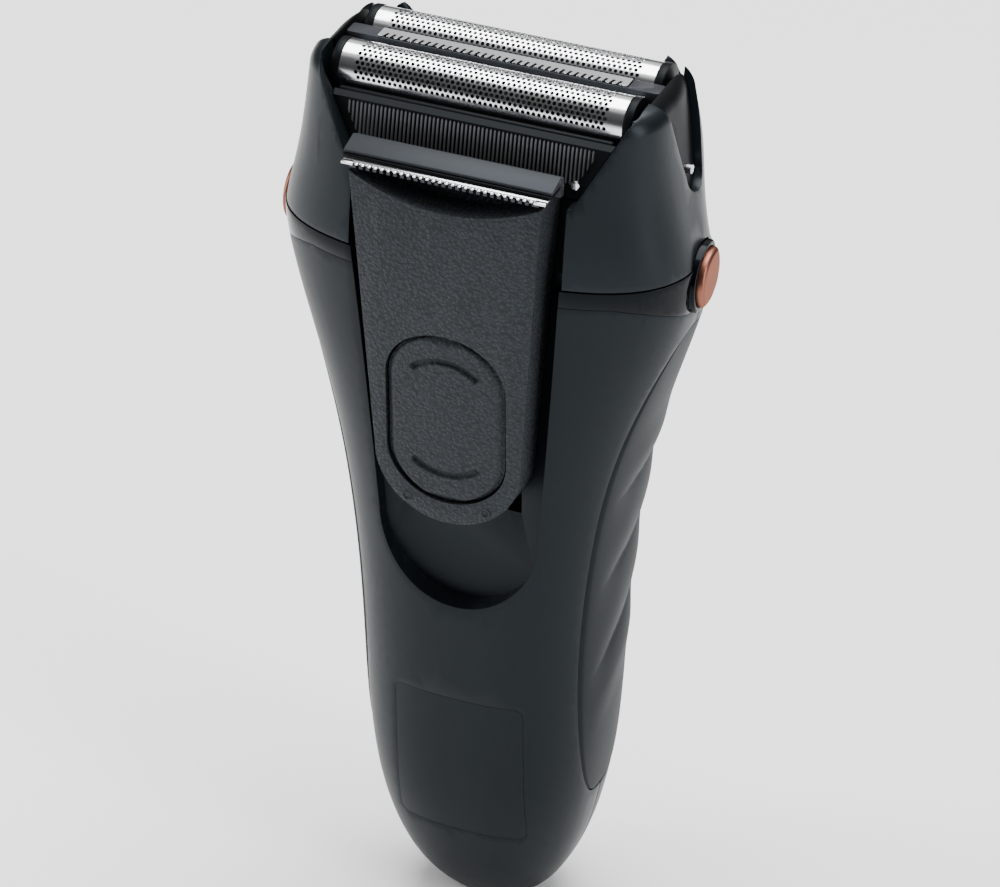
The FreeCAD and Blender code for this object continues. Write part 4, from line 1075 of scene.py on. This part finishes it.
class ShaverSizes(bpy.types.PropertyGroup):
    hole_pitch: length("Hole pitch", "Distance between foil holes in a row", 0.92 * MM)
    hole_radius: length("Hole radius", "Radius of a foil hole", 0.325 * MM)
    foil_margin: length("Foil margin", "Plain strip at each end of a foil", 2.6 * MM)
    foil_skirt: length("Pierced skirt", "How far the holes go down the skirt", 0.3 * MM)
    foil_wall: length("Foil wall", "Thickness of the foil", 0.07 * MM)
    rib_pitch: length("Rib pitch", "Distance between apron ribs", 0.7 * MM)
    rib_width: length("Rib width", "Width of an apron rib", 0.36 * MM)
    rib_height: length("Rib height", "How far a rib stands proud", 0.3 * MM)
    rib_foot: length("Rib foot", "Plain strip below the ribs", 2.2 * MM)
    rib_margin: length("Rib margin", "Plain strip along the apron's sides", 1.7 * MM)
    rib_count: IntProperty(name="Ribs", description="Ribs on the apron", default=61)
    ridge_height: length("Ridge height", "Depth from crest to crease", 1.05 * MM)
    ridge_fade: length("Ridge fade", "Where the ridges start, forward of the middle", 9.0 * MM)
    grip_power: FloatProperty(
        name="Grip outline", description="Squareness of the grip's outline", default=2.9)
    grip_edge: length("Grip edge", "Width of the rounding at the grip's edge", 0.55 * MM)
    grip_drop: length("Grip groove", "Depth of the parting at the grip's edge", 0.3 * MM)
    grip_smoothing: IntProperty(
        name="Grip smoothing", description="Averaging rounds of the grip", default=60)
    grip_rows: IntProperty(name="Grip rows", description="Mesh rows up a grip", default=240)
    grip_columns: IntProperty(
        name="Grip columns", description="Mesh columns across a grip", default=56)
    button_cap: length("Button cap", "Height of the button's round ends", 9.0 * MM)
    button_round: length("Button edge", "Rounding of the button's edge", 0.8 * MM)
    button_rows: IntProperty(name="Button rows", description="Mesh rows", default=190)
    button_columns: IntProperty(name="Button columns", description="Mesh columns", default=120)
    groove_half: length("Groove half width", "Half the width of a grip groove", 5.4 * MM)
    groove_width: length("Groove width", "Width of a groove's mouth", 1.1 * MM)
    groove_depth: length("Groove depth", "Depth of a groove", 0.55 * MM)
    tooth_length: length("Tooth length", "Length of a trimmer tooth", 0.72 * MM)
    tooth_count: IntProperty(name="Teeth", description="Teeth of the trimmer", default=28)
    blade_tab: length("Blade tab", "Plain tab at each end of the blade", 2.0 * MM)
    mark_x: length("Mark place", "Sideways place of a mark", 7.0 * MM)
    mark_z: length("Mark height", "Height of the marks", 89.9 * MM)
    mark_radius: length("Mark radius", "Radius of a mark", 0.75 * MM)


class ShaverView(bpy.types.PropertyGroup):
    place: FloatVectorProperty(
        name="Camera", description="Where the camera stands", subtype="TRANSLATION",
        default=(0.274254, -0.653417, 0.530806))
    azimuth: FloatProperty(
        name="Azimuth", description="Turn round the object", subtype="ANGLE",
        default=math.radians(22.747))
    elevation: FloatProperty(
        name="Elevation", description="Height above the horizon", subtype="ANGLE",
        default=math.radians(31.933))
    roll: FloatProperty(
        name="Roll", description="Tilt of the camera", subtype="ANGLE",
        default=math.radians(0.656))
    lens: FloatProperty(name="Lens", description="Focal length in millimetres", default=180.0)


# ---- operators -------------------------------------------------------------
# Node, width of the rounding, facets across it.
SOFT_EDGES = (
    ("trimmer_panel", 0.45 * MM, 3), ("trimmer_block", 0.2 * MM, 2),
    ("trimmer_lip", 0.1 * MM, 2), ("head_casing", 0.3 * MM, 2),
    ("middle_bar", 0.12 * MM, 2), ("cassette_arms", 0.15 * MM, 2),
    ("front_foil_frame", 0.2 * MM, 2), ("rear_foil_frame", 0.2 * MM, 2),
    ("button_bezel_left", 0.25 * MM, 2), ("button_bezel_right", 0.25 * MM, 2),
    ("front_rail", 0.5 * MM, 4), ("rear_rail", 0.5 * MM, 4),
    ("apron_screws", 0.12 * MM, 2), ("latch_band", 0.15 * MM, 2),
    ("front_shell", 0.18 * MM, 2), ("rear_shell", 0.18 * MM, 2),
)
FINISHES = {}


class SHAVER_OT_finishes(bpy.types.Operator):
    """Give every frame piece its material"""
    bl_idname = "shaver.finishes"
    bl_label = "Finishes"

    def execute(self, context):
        FINISHES.update(make_finishes(context.scene.shaver_look))
        for node, piece in frame["nodes"].items():
            piece.data.materials.clear()
            piece.data.materials.append(finish_of(node))
        return {"FINISHED"}


class SHAVER_OT_edges(bpy.types.Operator):
    """Round the moulded and ground edges"""
    bl_idname = "shaver.edges"
    bl_label = "Rounded edges"

    def execute(self, context):
        for node, width, segments in SOFT_EDGES:
            soften(node, width, segments)
        return {"FINISHED"}


class SHAVER_OT_foils(bpy.types.Operator):
    """Pierce both foils"""
    bl_idname = "shaver.foils"
    bl_label = "Perforated foils"

    def execute(self, context):
        make_foils(context.scene.shaver_sizes)
        return {"FINISHED"}


class SHAVER_OT_apron(bpy.types.Operator):
    """Set the ribs on the apron"""
    bl_idname = "shaver.apron"
    bl_label = "Apron ribs"

    def execute(self, context):
        make_apron(context.scene.shaver_sizes)
        return {"FINISHED"}


class SHAVER_OT_grips(bpy.types.Operator):
    """Form the ridged side grips"""
    bl_idname = "shaver.grips"
    bl_label = "Side grips"

    def execute(self, context):
        make_grips(context.scene.shaver_sizes)
        return {"FINISHED"}


class SHAVER_OT_button(bpy.types.Operator):
    """Form the oval power button with its two grooves"""
    bl_idname = "shaver.button"
    bl_label = "Power button"

    def execute(self, context):
        make_button(context.scene.shaver_sizes)
        return {"FINISHED"}


class SHAVER_OT_blade(bpy.types.Operator):
    """Form the trimmer blade and the marks on its panel"""
    bl_idname = "shaver.blade"
    bl_label = "Trimmer blade"

    def execute(self, context):
        make_blade(context.scene.shaver_sizes)
        make_marks(context.scene.shaver_sizes)
        return {"FINISHED"}


class SHAVER_OT_leaves(bpy.types.Operator):
    """Form the springs behind the buttons"""
    bl_idname = "shaver.leaves"
    bl_label = "Leaf springs"

    def execute(self, context):
        make_leaves()
        return {"FINISHED"}


class SHAVER_OT_stage(bpy.types.Operator):
    """Set the floor, the lights and the camera"""
    bl_idname = "shaver.stage"
    bl_label = "Studio"

    def execute(self, context):
        make_floor()
        middle = (0.0, 0.0, 0.09)
        make_light("overhead", (0.0, 0.25, 1.25), middle, 1.1, 36.0)
        make_light("left", (-0.95, -0.35, 0.5), middle, 0.3, 9.0, 0.9)
        make_light("right", (0.95, -0.3, 0.5), middle, 0.25, 7.0, 0.9)
        make_world()
        make_camera(context.scene.shaver_view)
        return {"FINISHED"}


class SHAVER_PT_panel(bpy.types.Panel):
    """Lists the steps that make the shaver"""
    bl_idname = "SHAVER_PT_panel"
    bl_label = "Foil shaver"
    bl_space_type = "VIEW_3D"
    bl_region_type = "UI"
    bl_category = "Shaver"

    def draw(self, context):
        for step in STEPS:
            self.layout.operator(step.bl_idname)


GROUPS = {
    "shaver_look": ShaverLook,
    "shaver_sizes": ShaverSizes,
    "shaver_view": ShaverView,
}
STEPS = (
    SHAVER_OT_finishes, SHAVER_OT_edges, SHAVER_OT_foils, SHAVER_OT_apron,
    SHAVER_OT_grips, SHAVER_OT_button, SHAVER_OT_blade, SHAVER_OT_leaves,
    SHAVER_OT_stage,
)


def register():
    for kind in (*GROUPS.values(), *STEPS, SHAVER_PT_panel):
        bpy.utils.register_class(kind)
    for name, kind in GROUPS.items():
        setattr(bpy.types.Scene, name, PointerProperty(type=kind))


def unregister():
    for name in GROUPS:
        delattr(bpy.types.Scene, name)
    for kind in reversed((*GROUPS.values(), *STEPS, SHAVER_PT_panel)):
        bpy.utils.unregister_class(kind)


def main():
    register()
    for step in STEPS:
        family, verb = step.bl_idname.split(".")
        getattr(getattr(bpy.ops, family), verb)()


if __name__ == "__main__":
    main()
